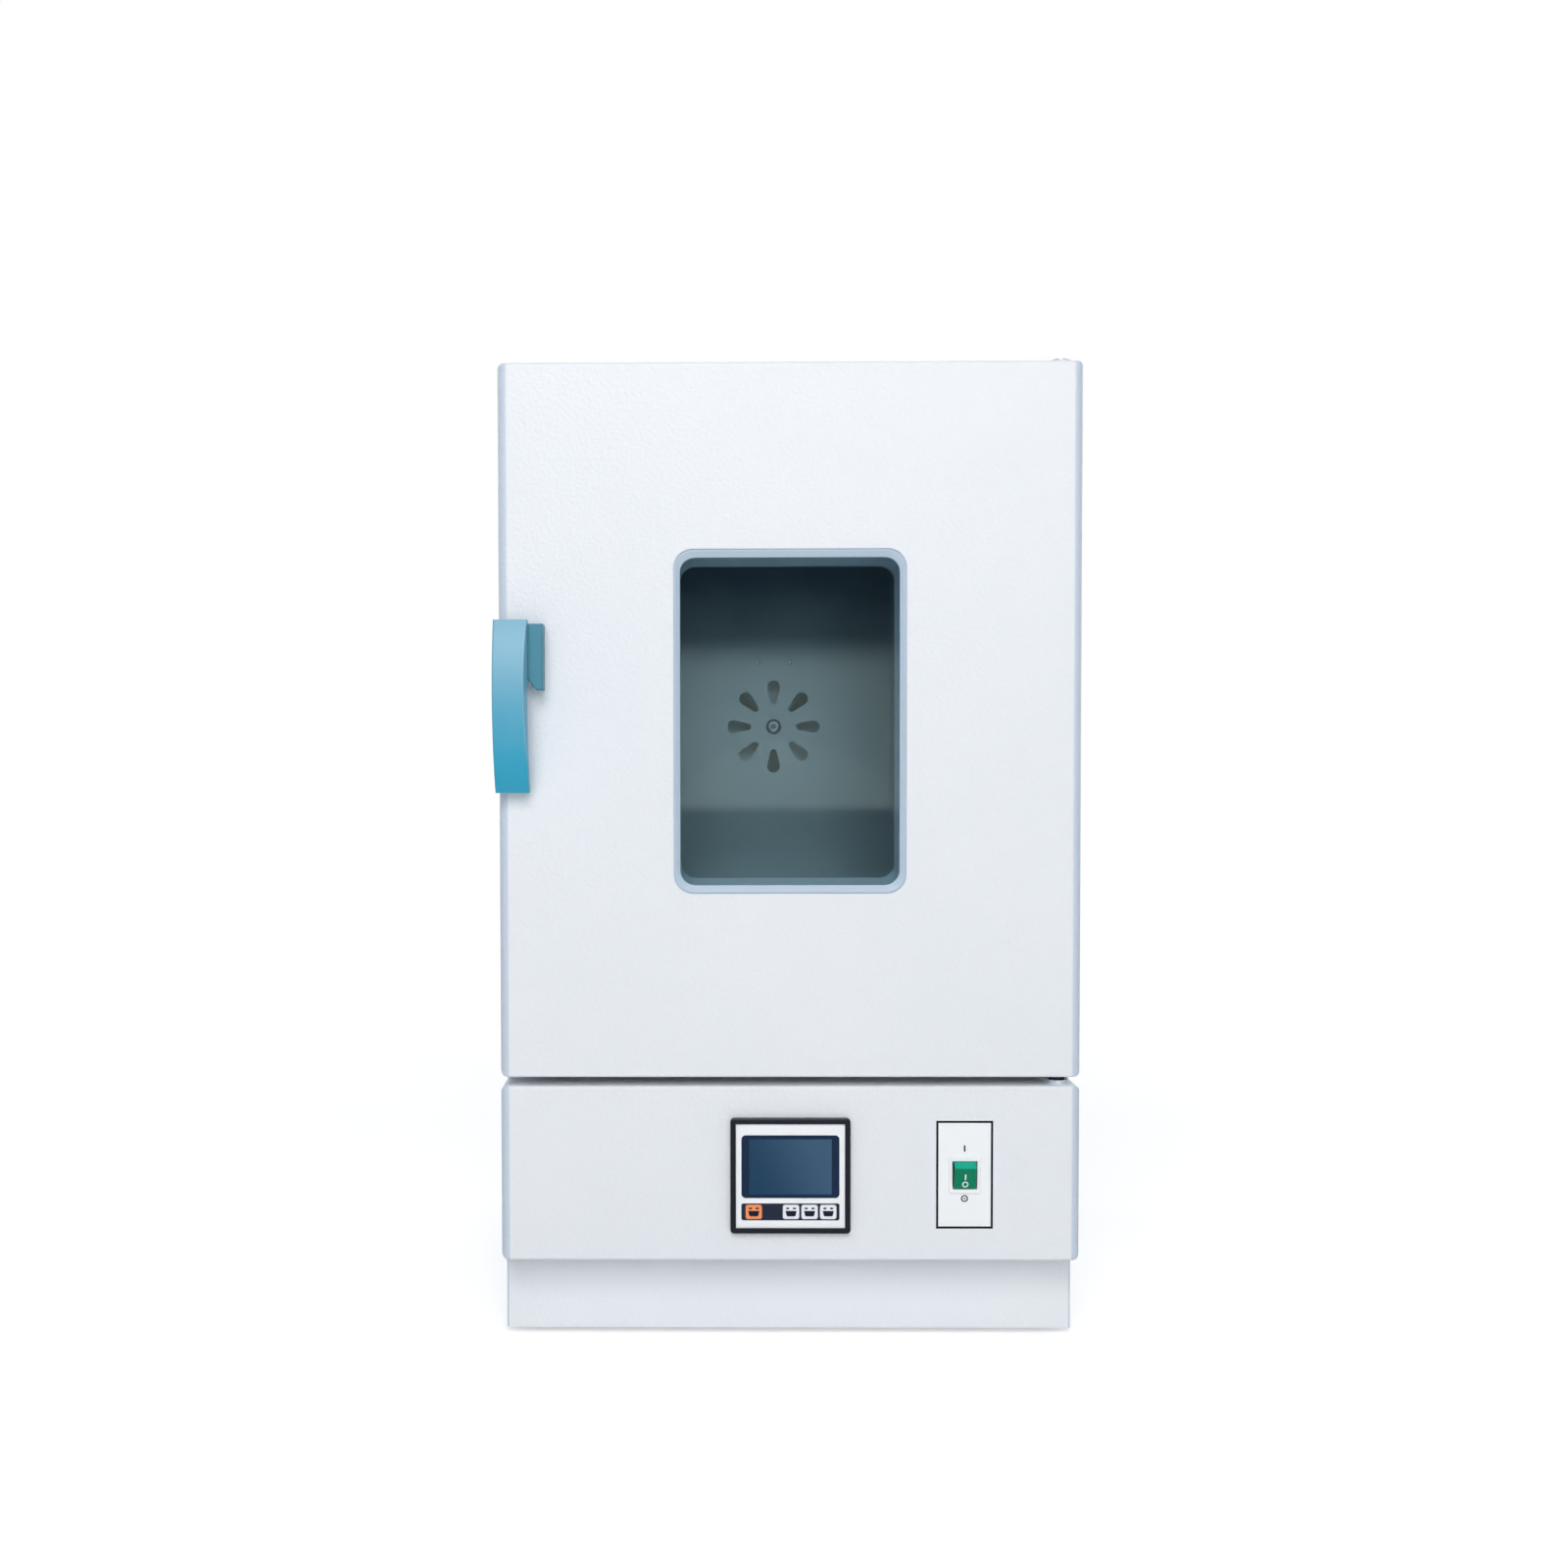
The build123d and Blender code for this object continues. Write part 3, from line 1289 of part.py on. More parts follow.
def vent_ports(radius_low, radius_high, z):
    """Four openings across a vent ring's wall."""
    ports = []
    for index in range(vent_port_count):
        port = Box(radius_high - radius_low, vent_port_width, vent_port_height)
        port = Pos((radius_low + radius_high) / 2, 0, 0) * port
        ports.append(Pos(0, vent_y, z) * Rot(0, 0, 360 / vent_port_count * index) * port)
    return ports


def make_vent_ring():
    """The fixed ring on the flange, with four ports."""
    low = cabinet_top + vent_flange_sheet
    ring = rod(vent_ring_radius, (0, vent_y, low), (0, vent_y, low + vent_ring_height))
    ring -= post(vent_ring_radius - vent_ring_wall, 0, vent_y, low - 1, low + vent_ring_height + 1)
    port_start = vent_ring_radius - 2 * vent_ring_wall
    for port in vent_ports(port_start, vent_ring_radius + 2, low + vent_ring_height / 2):
        ring -= port
    return ring


def make_vent_cap():
    """The turning cap over the ring, with four ports of its own and a fluted grip."""
    low = cabinet_top + vent_flange_sheet + seat
    top = low + vent_ring_height + vent_cap_wall
    bore = vent_ring_radius + seat
    outside = bore + vent_cap_wall
    cap = rod(outside, (0, vent_y, low), (0, vent_y, top))
    cap = fillet(cap.edges().group_by(Axis.Z)[-1], 1.5)
    cap -= rod(bore, (0, vent_y, low - 1), (0, vent_y, top - vent_cap_wall))
    port_z = cabinet_top + vent_flange_sheet + vent_ring_height / 2
    for port in vent_ports(bore - 1, outside + 3, port_z):
        cap -= port
    for index in range(vent_flute_count):
        angle = math.radians(360 / vent_flute_count * index)
        reach = outside + vent_flute_radius - vent_flute_depth
        x, y = reach * math.cos(angle), vent_y + reach * math.sin(angle)
        cap -= post(vent_flute_radius, x, y, port_z + vent_port_height / 2 + 1, top + 1)
    return cap


# Electrics

def make_power_inlet():
    """The snap-in appliance inlet: a flange, a socket and three flat pins."""
    z = inlet_z
    back = cabinet_rear + cover_sheet
    flange = slab(Pos(inlet_x, z) * RectangleRounded(inlet_flange_width, inlet_flange_height, 4),
                  back, back + inlet_flange_sheet)
    body = slab(board(inlet_x, z, inlet_body_width, inlet_body_height), back - inlet_body_depth, back)
    mouth = Pos(inlet_x, z) * Rectangle(socket_width, socket_height)
    mouth = chamfer(mouth.vertices().sort_by(Axis.Y)[2:], socket_chamfer)
    floor = back + inlet_flange_sheet - socket_depth
    inlet = flange + body - slab(mouth, floor, back + inlet_flange_sheet + 1)
    pins = ((-socket_pin_spread / 2, -socket_pin_drop), (0, socket_earth_rise),
            (socket_pin_spread / 2, -socket_pin_drop))
    for x, rise in pins:
        inlet += span((inlet_x + x - socket_pin_width / 2, inlet_x + x + socket_pin_width / 2),
                      (floor - 1, floor + socket_pin_length),
                      (z + rise - socket_pin_height / 2, z + rise + socket_pin_height / 2))
    return inlet


def make_fuse_holder():
    """The round fuse holder beside the inlet, with a slotted cap."""
    z = inlet_z
    back = cabinet_rear + cover_sheet
    body = rod(fuse_body_radius, (fuse_x, back - fuse_body_length, z), (fuse_x, back, z))
    cap = rod(fuse_radius, (fuse_x, back, z), (fuse_x, back + fuse_cap_height, z))
    cap = fillet(cap.edges().group_by(Axis.Y)[-1], 1)
    slot = span((fuse_x - 5, fuse_x + 5), (back + fuse_cap_height - 1.5, back + fuse_cap_height + 1),
                (z - 0.8, z + 0.8))
    return body + cap - slot


# All nodes by name. A list is a group of separate like solids in one node.
nodes = {
    "cabinet_shell": make_cabinet_shell(),
    "front_frame": make_front_frame(),
    "chamber_liner": make_chamber_liner(),
    "cabinet_insulation": make_insulation(),
    "divider_plate": make_divider(),
    "rear_bulkhead": make_bulkhead(),
    "rear_cover": make_rear_cover(),
    "rear_cover_screws": make_cover_screws(),
    "base_plinth": make_plinth(),
    "rubber_feet": make_feet(),
    "control_panel": make_control_panel(),
    "control_panel_screws": make_panel_screws(),
    "controller_frame": make_controller_frame(),
    "controller_case": make_controller_case(),
    "controller_face": make_controller_face(),
    "display_lens": make_display_lens(),
    "key_strip": make_key_strip(),
    "power_plate": make_power_plate(),
    "switch_housing": make_switch_housing(),
    "power_rocker": make_rocker(),
    "door_skin": make_door_skin(),
    "door_inner_panel": make_door_inner_panel(),
    "door_insulation": make_door_insulation(),
    "window_bezel": make_window_bezel(),
    "outer_glass": make_glass(outer_glass_front, window_cut_width + bezel_flange,
                              window_cut_height + bezel_flange, window_cut_radius),
    "inner_glass": make_glass(inner_glass_front, view_width + glass_overlap,
                              view_height + glass_overlap, view_radius),
    "window_tunnel": make_window_tunnel(),
    "glass_retainer": make_glass_retainer(),
    "retainer_screws": make_retainer_screws(),
    "door_seal": make_door_seal(),
    "hinge_plates": [make_hinge_plate(cabinet_top, top_plate_thickness),
                     make_hinge_plate(panel_top, hinge_plate_thickness)],
    "hinge_pins": [make_hinge_pin(cabinet_top + top_plate_thickness, -1), make_hinge_pin(panel_top, 1)],
    "hinge_bushes": [make_hinge_bush(door_top - bush_length, door_top),
                     make_hinge_bush(door_bottom, door_bottom + bush_length)],
    "thrust_washer": make_thrust_washer(),
    "hinge_screws": make_hinge_screws(),
    "handle_block": make_handle_block(),
    "handle_pin": make_handle_pin(),
    "handle_lever": make_handle_lever(),
    "latch_hook": make_latch_hook(),
    "strike_pin": make_strike_pin(),
    "fan_baffle": make_baffle(),
    "baffle_screws": make_baffle_screws(),
    "fan_impeller": make_impeller(),
    "impeller_nut": make_impeller_nut(),
    "motor_shaft": make_motor_shaft(),
    "fan_motor": make_fan_motor(),
    "heating_element": make_heater(),
    "heater_glands": make_heater_glands(),
    "temperature_probe": make_probe(),
    "shelf_racks": [make_rack(-1), make_rack(1)],
    "wire_shelf": make_shelf(),
    "vent_tube": make_vent_tube(),
    "vent_ring": make_vent_ring(),
    "vent_cap": make_vent_cap(),
    "power_inlet": make_power_inlet(),
    "fuse_holder": make_fuse_holder(),
}
for name in key_offsets:
    nodes[name] = make_key(name)

os.makedirs("parts", exist_ok=True)
pieces = {}
for name, made in nodes.items():
    pieces[name] = Compound(made) if isinstance(made, list) else made
box = Compound(list(pieces.values())).bounding_box()
to_origin = Pos(-box.center().X, -box.center().Y, -box.min.Z)
for name, piece in pieces.items():
    export_step(to_origin * piece, f"parts/{name}.step")
print(len(pieces), "nodes, size", box.size, "moved by", to_origin.position)
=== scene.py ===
# %% [markdown]
# # Dressing a hot air sterilizer
# The cabinet, the door and every hinge come from the CAD model. This lesson gives them their finishes, adds
# the printed marks that are too thin for CAD, and lights the result like a catalogue picture. The first
# call loads the CAD pieces.

# %% Load the frame
import math

import bmesh
import bpy
from mathutils import Matrix, Vector
from mathutils.bvhtree import BVHTree


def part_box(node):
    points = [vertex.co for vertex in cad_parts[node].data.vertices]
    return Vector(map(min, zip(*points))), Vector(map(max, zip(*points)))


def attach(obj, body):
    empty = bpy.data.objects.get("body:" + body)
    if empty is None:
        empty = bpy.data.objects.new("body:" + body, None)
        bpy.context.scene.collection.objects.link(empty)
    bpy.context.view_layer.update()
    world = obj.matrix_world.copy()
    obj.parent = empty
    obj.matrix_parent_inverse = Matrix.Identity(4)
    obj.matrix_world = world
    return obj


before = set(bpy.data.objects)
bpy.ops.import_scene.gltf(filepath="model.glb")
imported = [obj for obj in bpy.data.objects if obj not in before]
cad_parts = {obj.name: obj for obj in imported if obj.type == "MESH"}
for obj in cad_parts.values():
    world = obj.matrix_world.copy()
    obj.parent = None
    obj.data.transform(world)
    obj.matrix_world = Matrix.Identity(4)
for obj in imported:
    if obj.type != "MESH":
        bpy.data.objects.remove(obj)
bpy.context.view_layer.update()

MM = 0.001


# %% [markdown]
# ## The camera
# The photograph was taken from a little left of the middle, at about half the cabinet's height, and looks
# slightly down. The place, the lens and the small turn were found by matching the edges of the door, the
# panel and the plinth. A lens shift, as on a view camera, moves the picture sideways without turning the
# camera.

# %% Place the camera
picture = 1600
focal_pixels = 1908.3
axis_pixel = (693.9, 830.6)
camera_place = (-0.06727, -1.72330, 0.48167)
turned_left, turned_up, rolled = 0.699, -2.016, 0.126

camera_data = bpy.data.cameras.new("view")
camera_data.sensor_width = 36.0
camera_data.lens = focal_pixels / picture * camera_data.sensor_width
camera_data.shift_x = (picture / 2 - axis_pixel[0]) / picture
camera_data.shift_y = (axis_pixel[1] - picture / 2) / picture
camera = bpy.data.objects.new("view", camera_data)
bpy.context.scene.collection.objects.link(camera)
level = Matrix.Rotation(math.radians(90), 4, "X")
turn = (Matrix.Rotation(math.radians(turned_left), 4, "Z") @ Matrix.Rotation(math.radians(turned_up), 4, "X")
        @ Matrix.Rotation(math.radians(rolled), 4, "Y") @ level)
camera.matrix_world = Matrix.Translation(camera_place) @ turn
bpy.context.scene.camera = camera
print("lens", round(camera_data.lens, 2), "mm")


# %% [markdown]
# ## Shader maths as Python
# A finish varies over its surface: paint has a fine skin, steel has grain. Joining Math nodes by hand hides
# the formula, so a small class wraps a node's output and turns Python's operators into Math nodes.

# %% Numbers that vary over a surface
class Number:
    """A node's output as a number, so that 1 - mask * 0.5 builds the nodes for it."""

    def __init__(self, nodes, socket):
        self.nodes = nodes
        self.socket = socket

    def math(self, operation, *values):
        return self.nodes.number("ShaderNodeMath", {"operation": operation}, *values)

    def __add__(self, other):
        return self.math("ADD", self, other)

    def __radd__(self, other):
        return self.math("ADD", other, self)

    def __sub__(self, other):
        return self.math("SUBTRACT", self, other)

    def __rsub__(self, other):
        return self.math("SUBTRACT", other, self)

    def __mul__(self, other):
        return self.math("MULTIPLY", self, other)

    def __rmul__(self, other):
        return self.math("MULTIPLY", other, self)

    def __abs__(self):
        return self.math("ABSOLUTE", self)


# %% [markdown]
# ## One way to make a node
# Materials and the world are both trees of nodes. One method makes any node, gives it its settings first
# and then fills its sockets with values or links, so that each node is one line.

# %% A tree of nodes
class Nodes:
    """The nodes of a material or of the world."""

    def __init__(self, tree):
        self.tree = tree

    def make(self, kind, settings=None, sockets=None):
        """A node of that kind, with its settings first and then its sockets' values or links."""
        node = self.tree.nodes.new(kind)
        for name, value in (settings or {}).items():
            setattr(node, name, value)
        for name, value in (sockets or {}).items():
            value = value.socket if isinstance(value, Number) else value
            if isinstance(value, bpy.types.NodeSocket):
                self.tree.links.new(value, node.inputs[name])
            else:
                node.inputs[name].default_value = value
        return node

    def number(self, kind, settings, *values):
        """The first output of a node whose sockets are given in order."""
        return Number(self, self.make(kind, settings, dict(enumerate(values))).outputs[0])

    def show(self, result, output):
        """Links the last node to the tree's output."""
        self.tree.links.new(result, self.tree.nodes[output].inputs["Surface"])


def soft_step(value, low, high):
    """From 0 to 1 as value goes from low to high."""
    return value.nodes.number("ShaderNodeMapRange", {"interpolation_type": "SMOOTHSTEP"},
                              value, low, high, 0.0, 1.0)


# %% [markdown]
# ## One way to make a finish
# Each finish is a Principled shader with its constant values on its own sockets. What varies is added by a
# method: a pattern that reads the piece's own coordinates, in metres, so a 3 mm grain stays 3 mm on every
# piece.

# %% A finish and its patterns
class Finish(Nodes):
    """A material with a Principled shader, and short ways to vary it."""

    def __init__(self, name, **sockets):
        self.material = bpy.data.materials.new(name)
        self.material.use_nodes = True
        super().__init__(self.material.node_tree)
        self.shader = self.tree.nodes["Principled BSDF"]
        for socket, value in sockets.items():
            self.shader.inputs[socket.replace("_", " ")].default_value = value
        self.object_place = self.make("ShaderNodeTexCoord").outputs["Object"]

    def noise(self, size, stretch=(1, 1, 1), detail=2.0):
        """Cloudy values from 0 to 1 with features of that size in metres, drawn out by stretch."""
        scaled = self.make("ShaderNodeVectorMath", {"operation": "MULTIPLY"},
                           {0: self.object_place, 1: tuple(1 / (size * s) for s in stretch)})
        node = self.make("ShaderNodeTexNoise", None,
                         {"Vector": scaled.outputs[0], "Scale": 1.0, "Detail": detail})
        return Number(self, node.outputs[0])

    def axis(self, name):
        """One coordinate of the surface, in metres."""
        split = self.make("ShaderNodeSeparateXYZ", None, {0: self.object_place})
        return Number(self, split.outputs[name])

    def blend(self, factor, low, high):
        """A colour between two colours."""
        low = (*low, 1.0) if isinstance(low, tuple) else low
        high = (*high, 1.0) if isinstance(high, tuple) else high
        node = self.make("ShaderNodeMix", {"data_type": "RGBA", "clamp_factor": True},
                         {0: factor, 6: low, 7: high})
        return node.outputs[2]

    def edges(self, radius):
        """A mask of the sharp edges: where a rounded normal would differ from the real one."""
        rounded = self.make("ShaderNodeBevel", {"samples": 4}, {"Radius": radius})
        real = self.make("ShaderNodeNewGeometry")
        alike = self.make("ShaderNodeVectorMath", {"operation": "DOT_PRODUCT"},
                          {0: rounded.outputs[0], 1: real.outputs["Normal"]})
        return 1 - soft_step(Number(self, alike.outputs["Value"]), 0.85, 0.995)

    def bends(self):
        """A mask of the upright bends, which face neither straight ahead nor straight sideways."""
        normal = self.make("ShaderNodeTexCoord").outputs["Normal"]
        sideways = abs(Number(self, self.make("ShaderNodeSeparateXYZ", None, {0: normal}).outputs["X"]))
        return soft_step(sideways, 0.10, 0.30) * (1 - soft_step(sideways, 0.93, 0.995))

    def set(self, socket, value):
        """Links a varying value to one of the shader's sockets."""
        value = value.socket if isinstance(value, Number) else value
        self.tree.links.new(value, self.shader.inputs[socket])

    def bump(self, height, depth, strength=1.0):
        """Raises the surface by height times depth in metres."""
        node = self.make("ShaderNodeBump", None, {"Height": height, "Distance": depth, "Strength": strength})
        self.tree.links.new(node.outputs[0], self.shader.inputs["Normal"])


def colour(red, green, blue):
    """A colour as a picture shows it, from 0 to 255, turned into the light that Blender works with."""
    def light(part):
        part = part / 255
        return part / 12.92 if part <= 0.04045 else ((part + 0.055) / 1.055) ** 2.4
    return light(red), light(green), light(blue)


print("white paint is", [round(c, 3) for c in colour(232, 236, 243)])


# %% [markdown]
# ## Powder coat
# The cabinet is steel with a baked powder coat. The powder melts into a skin with shallow hills of about 3
# mm, called orange peel, which only shows where a light is mirrored. Two sizes of noise make the skin, and
# a very slow one gives the sheets the slight unevenness that a real coat has. The rounded upright bends are
# painted a little darker and bluer: painted shade, for the bends that turn away from the lamps.

# %% Powder coat finish
def powder_coat(name, light, shade, peel=0.0007):
    paint = Finish(name, Roughness=0.32, Specular_IOR_Level=0.35)
    slow = paint.noise(0.16, detail=3.0)
    grain = paint.noise(0.0032, detail=1.5)
    fine = paint.noise(0.0009, detail=1.0)
    sheet = paint.blend(slow, shade, light)
    painted_bend_shade = (light[0] * 0.74, light[1] * 0.81, light[2] * 0.90)
    rubbed = tuple(c * 0.93 for c in light)
    # Painted shade: the upright bends are coloured darker and bluer than the flat sheet.
    sheet = paint.blend(paint.bends(), sheet, painted_bend_shade)
    paint.set("Base Color", paint.blend(paint.edges(0.0008) * 0.5, sheet, rubbed))
    paint.set("Roughness", 0.26 + fine * 0.10)
    paint.bump(grain * 0.8 + fine * 0.2, peel, 0.9)
    return paint.material


white_coat = powder_coat("powder_coat", colour(238, 241, 245), colour(231, 235, 240))
# Painted light: the plinth gets a lighter copy of the same coat, against the shade under the control panel's
# overhang.
plinth_coat_painted_light = powder_coat("plinth_coat_painted_light", colour(241, 244, 247), colour(235, 239, 244))


# %% [markdown]
# ## Stainless steel
# The chamber and the baffle are rolled stainless sheet. Rolling leaves long fine lines, which spread a
# reflection across them. Noise drawn out along one axis makes the lines, in the roughness more than in the
# colour.

# %% Rolled steel finish
def rolled_steel(name, tone, roughness=0.32, stretch=(60, 60, 1), line=0.0006):
    steel = Finish(name, Metallic=1.0, Roughness=roughness)
    lines = steel.noise(line, stretch, detail=3.0)
    patches = steel.noise(0.07, detail=2.0)
    dark = tuple(c * 0.86 for c in tone)
    steel.set("Base Color", steel.blend(lines * 0.55 + patches * 0.45, dark, tone))
    steel.set("Roughness", roughness - 0.06 + lines * 0.12 + patches * 0.05)
    steel.bump(lines, 0.00002, 0.6)
    return steel.material


def steel_with_painted_top_shade(name, tone, top_shade_colour):
    """Rolled steel painted dark blue towards its top, as painted shade for the dark top of the chamber."""
    low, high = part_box("fan_baffle")
    steel = Finish(name, Metallic=1.0, Roughness=0.36)
    lines = steel.noise(0.0006, (60, 60, 1), detail=3.0)
    patches = steel.noise(0.05, detail=3.0)
    # Painted shade: the baffle turns dark blue towards its top, where the upper chamber lies in shade.
    top_shade_mask = soft_step(steel.axis("Z") + (patches - 0.5) * 0.03, high[2] - 0.09, high[2] - 0.005)
    clean = steel.blend(lines * 0.55 + patches * 0.45, tuple(c * 0.84 for c in tone), tone)
    steel.set("Base Color", steel.blend(top_shade_mask, clean, top_shade_colour))
    steel.set("Roughness", 0.30 + lines * 0.12 + patches * 0.06)
    steel.bump(lines, 0.00002, 0.6)
    return steel.material


chamber_steel = rolled_steel("chamber_steel", (0.56, 0.58, 0.60), 0.36)
baffle_steel = steel_with_painted_top_shade("baffle_steel", (0.60, 0.62, 0.63), (0.10, 0.14, 0.20))
bright_steel = rolled_steel("bright_steel", (0.70, 0.71, 0.72), 0.22, (1, 1, 30), 0.0004)
zinc_sheet = rolled_steel("zinc_sheet", (0.58, 0.60, 0.62), 0.42, (20, 20, 20), 0.0012)


# %% [markdown]
# ## Moulded plastics, rubber and silicone
# A moulded plastic takes its skin from the spark-eroded steel mould: very fine and even. Rubber is darker,
# rougher and slightly dusty. One function with different numbers covers them.

# %% Moulded finishes
def moulded(name, tone, roughness=0.42, grain=0.0005, depth=0.00002, unevenness=0.06, shine=0.5, wear_and_sheen=0.3):
    plastic = Finish(name, Roughness=roughness, Specular_IOR_Level=shine)
    skin = plastic.noise(grain, detail=2.0)
    slow = plastic.noise(0.03, detail=2.0)
    dark = tuple(c * (1 - unevenness) for c in tone)
    worn_and_sheen = tuple(c + (0.85 - c) * 0.25 for c in tone)
    body = plastic.blend(slow * 0.7 + skin * 0.3, dark, tone)
    # The lighter sharp edges are part wear and part painted highlight.
    plastic.set("Base Color", plastic.blend(plastic.edges(0.0006) * wear_and_sheen, body, worn_and_sheen))
    plastic.set("Roughness", roughness - 0.04 + skin * 0.08)
    plastic.bump(skin, depth, 0.7)
    return plastic.material


# The block is darker than the lever as painted shade from the lever in front of it. Its strongly lighter edges
# are part wear, part painted highlight.
block_plastic_painted_shade = moulded("block_plastic_painted_shade", colour(60, 134, 156), 0.42, wear_and_sheen=0.7)
bezel_plastic = moulded("bezel_plastic", colour(190, 208, 224), 0.28)
white_plastic = moulded("white_plastic", colour(250, 252, 254), 0.38)
black_plastic = moulded("black_plastic", colour(12, 17, 32), 0.30, shine=0.3, wear_and_sheen=0.25)
key_pale = moulded("key_pale", colour(240, 244, 250), 0.40)
key_orange = moulded("key_orange", colour(255, 150, 92), 0.40)
silicone = moulded("silicone", colour(190, 196, 202), 0.55, 0.0008)
black_rubber = moulded("black_rubber", colour(34, 34, 37), 0.70, 0.0012, 0.00006)
ceramic = moulded("ceramic", colour(236, 230, 214), 0.50)
mineral_wool = moulded("mineral_wool", colour(196, 184, 140), 0.95, 0.0025, 0.0009, 0.35)
brass = rolled_steel("brass", (0.78, 0.60, 0.30), 0.28, (1, 1, 1), 0.0006)
aluminium = rolled_steel("aluminium", (0.74, 0.76, 0.77), 0.34, (1, 1, 1), 0.0012)
fan_metal = rolled_steel("fan_metal", (0.11, 0.12, 0.13), 0.50, (1, 1, 1), 0.0012)
sheath = rolled_steel("sheath", (0.26, 0.26, 0.27), 0.46, (1, 1, 1), 0.0015)


# %% [markdown]
# ## The lever
# The lever is moulded in the same plastic as its block. Its colour runs from a full blue green at the foot
# to a paler one at the top: painted light, for the upper half that curves up towards the lamps. The change
# follows the piece's own height.

# %% Lever finish
def lever_finish(name, foot, lit_top):
    low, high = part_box("handle_lever")
    plastic = Finish(name, Roughness=0.38, Specular_IOR_Level=0.45)
    skin = plastic.noise(0.0006, detail=2.0)
    cloud = plastic.noise(0.02, detail=3.0)
    # Painted light: the colour pales towards the lever's top, where its curved face turns up to the lamps.
    gradient_mask = soft_step(plastic.axis("Z") + (cloud - 0.5) * 0.03, low[2] + 0.01, high[2] - 0.02)
    worn_and_sheen = tuple(c + (0.9 - c) * 0.35 for c in lit_top)
    # The lighter edges are part wear and part painted highlight.
    plastic.set("Base Color", plastic.blend(plastic.edges(0.0012) * 0.6, plastic.blend(gradient_mask, foot, lit_top), worn_and_sheen))
    plastic.set("Roughness", 0.34 + skin * 0.10)
    plastic.bump(skin, 0.00003, 0.7)
    return plastic.material


lever_plastic = lever_finish("lever_plastic", colour(44, 164, 197), colour(116, 174, 200))


# %% [markdown]
# ## The sheet frame between the panes
# The gap between the two panes is lined with a thin painted frame. It is a pale blue grey, and its skin is
# finer than the cabinet's.

# %% Tunnel paint
tunnel_coat = powder_coat("tunnel_coat", colour(176, 198, 212), colour(160, 184, 200), 0.00003)


# %% [markdown]
# ## Glass
# Both panes are clear, with the faint blue green of iron in float glass. Real refraction would keep the
# lamps' light out of the chamber, so the pane is a tinted see-through shader with a mirror on top. The
# mirror's share follows Fresnel's law: weak straight on, strong at a glancing angle.

# %% Glass finish
def window_glass(name, tint):
    glass = Finish(name, Roughness=0.02, Base_Color=(1.0, 1.0, 1.0, 1.0), Metallic=1.0)
    clear = glass.make("ShaderNodeBsdfTransparent", None, {"Color": (*tint, 1.0)})
    mirror = glass.make("ShaderNodeFresnel", None, {"IOR": 1.45})
    smear = glass.noise(0.05, detail=2.0)
    share = Number(glass, mirror.outputs[0]) * (0.7 + smear * 0.3)
    joined = glass.make("ShaderNodeMixShader", None,
                        {0: share, 1: clear.outputs[0], 2: glass.shader.outputs[0]})
    glass.show(joined.outputs[0], "Material Output")
    return glass.material


pane_glass = window_glass("pane_glass", (0.88, 0.928, 0.942))


# %% [markdown]
# ## The controller's window
# The display is switched off. Behind its dark gloss the screen itself shows as a slightly lighter field
# with soft corners, lighter towards the right. The field is a mask on the piece's own coordinates: the
# distance from the screen's middle, less half its size, on each axis.

# %% Display finish
lens_low, lens_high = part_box("display_lens")
lens_middle = [(a + b) / 2 for a, b in zip(lens_low, lens_high)]
screen_half = (33.0 * MM, 22.2 * MM)


def within(distance, half, soft=0.3 * MM):
    """1 where a distance from the middle is less than half a size, with a soft edge."""
    return 1 - soft_step(abs(distance), half - soft, half + soft)


def display_finish(name):
    lens = Finish(name, Roughness=0.12, Specular_IOR_Level=0.25)
    across = lens.axis("X") - lens_middle[0]
    up = lens.axis("Z") - (lens_middle[2] - 0.2 * MM)
    inside = within(across, screen_half[0]) * within(up, screen_half[1])
    towards_right = soft_step(across + up * 0.4, -0.034, 0.036)
    screen = lens.blend(towards_right, colour(22, 62, 92), colour(58, 90, 118))
    grain = lens.noise(0.0012, detail=1.0)
    lens.set("Base Color", lens.blend(inside, colour(8, 36, 66), screen))
    lens.set("Roughness", 0.10 + grain * 0.05)
    return lens.material


display_glass = display_finish("display_glass")
strip_dark = moulded("strip_dark", colour(22, 34, 56), 0.30, shine=0.3)
print("display middle", [round(v, 4) for v in lens_middle])


# %% [markdown]
# ## The rocker
# The rocker is green and slightly see-through, with a lamp under it on many switches. Above its crest it is
# painted brighter and bluer than on the face below: painted light, for the drum above the crest that faces
# up to the lamps. The two tones meet at the crest, softly.

# %% Rocker finish
def rocker_finish(name, face, lit_crest_colour):
    low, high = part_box("power_rocker")
    middle = (low[2] + high[2]) / 2
    plastic = Finish(name, Roughness=0.22, Specular_IOR_Level=0.18)
    skin = plastic.noise(0.0004, detail=1.0)
    cloud = plastic.noise(0.004, detail=2.0)
    # Painted light: above the crest the rocker is coloured brighter and bluer, where it faces up to the lamps.
    lit_crest_mask = soft_step(plastic.axis("Z") + (cloud - 0.5) * MM, middle + 5.5 * MM, middle + 8.0 * MM)
    plastic.set("Base Color", plastic.blend(lit_crest_mask, face, lit_crest_colour))
    plastic.set("Roughness", 0.18 + skin * 0.10)
    return plastic.material


rocker_green = rocker_finish("rocker_green", colour(6, 128, 92), colour(8, 176, 146))


# %% [markdown]
# ## Which finish goes where
# Every CAD piece gets one of the finishes. A table keeps that in one place.

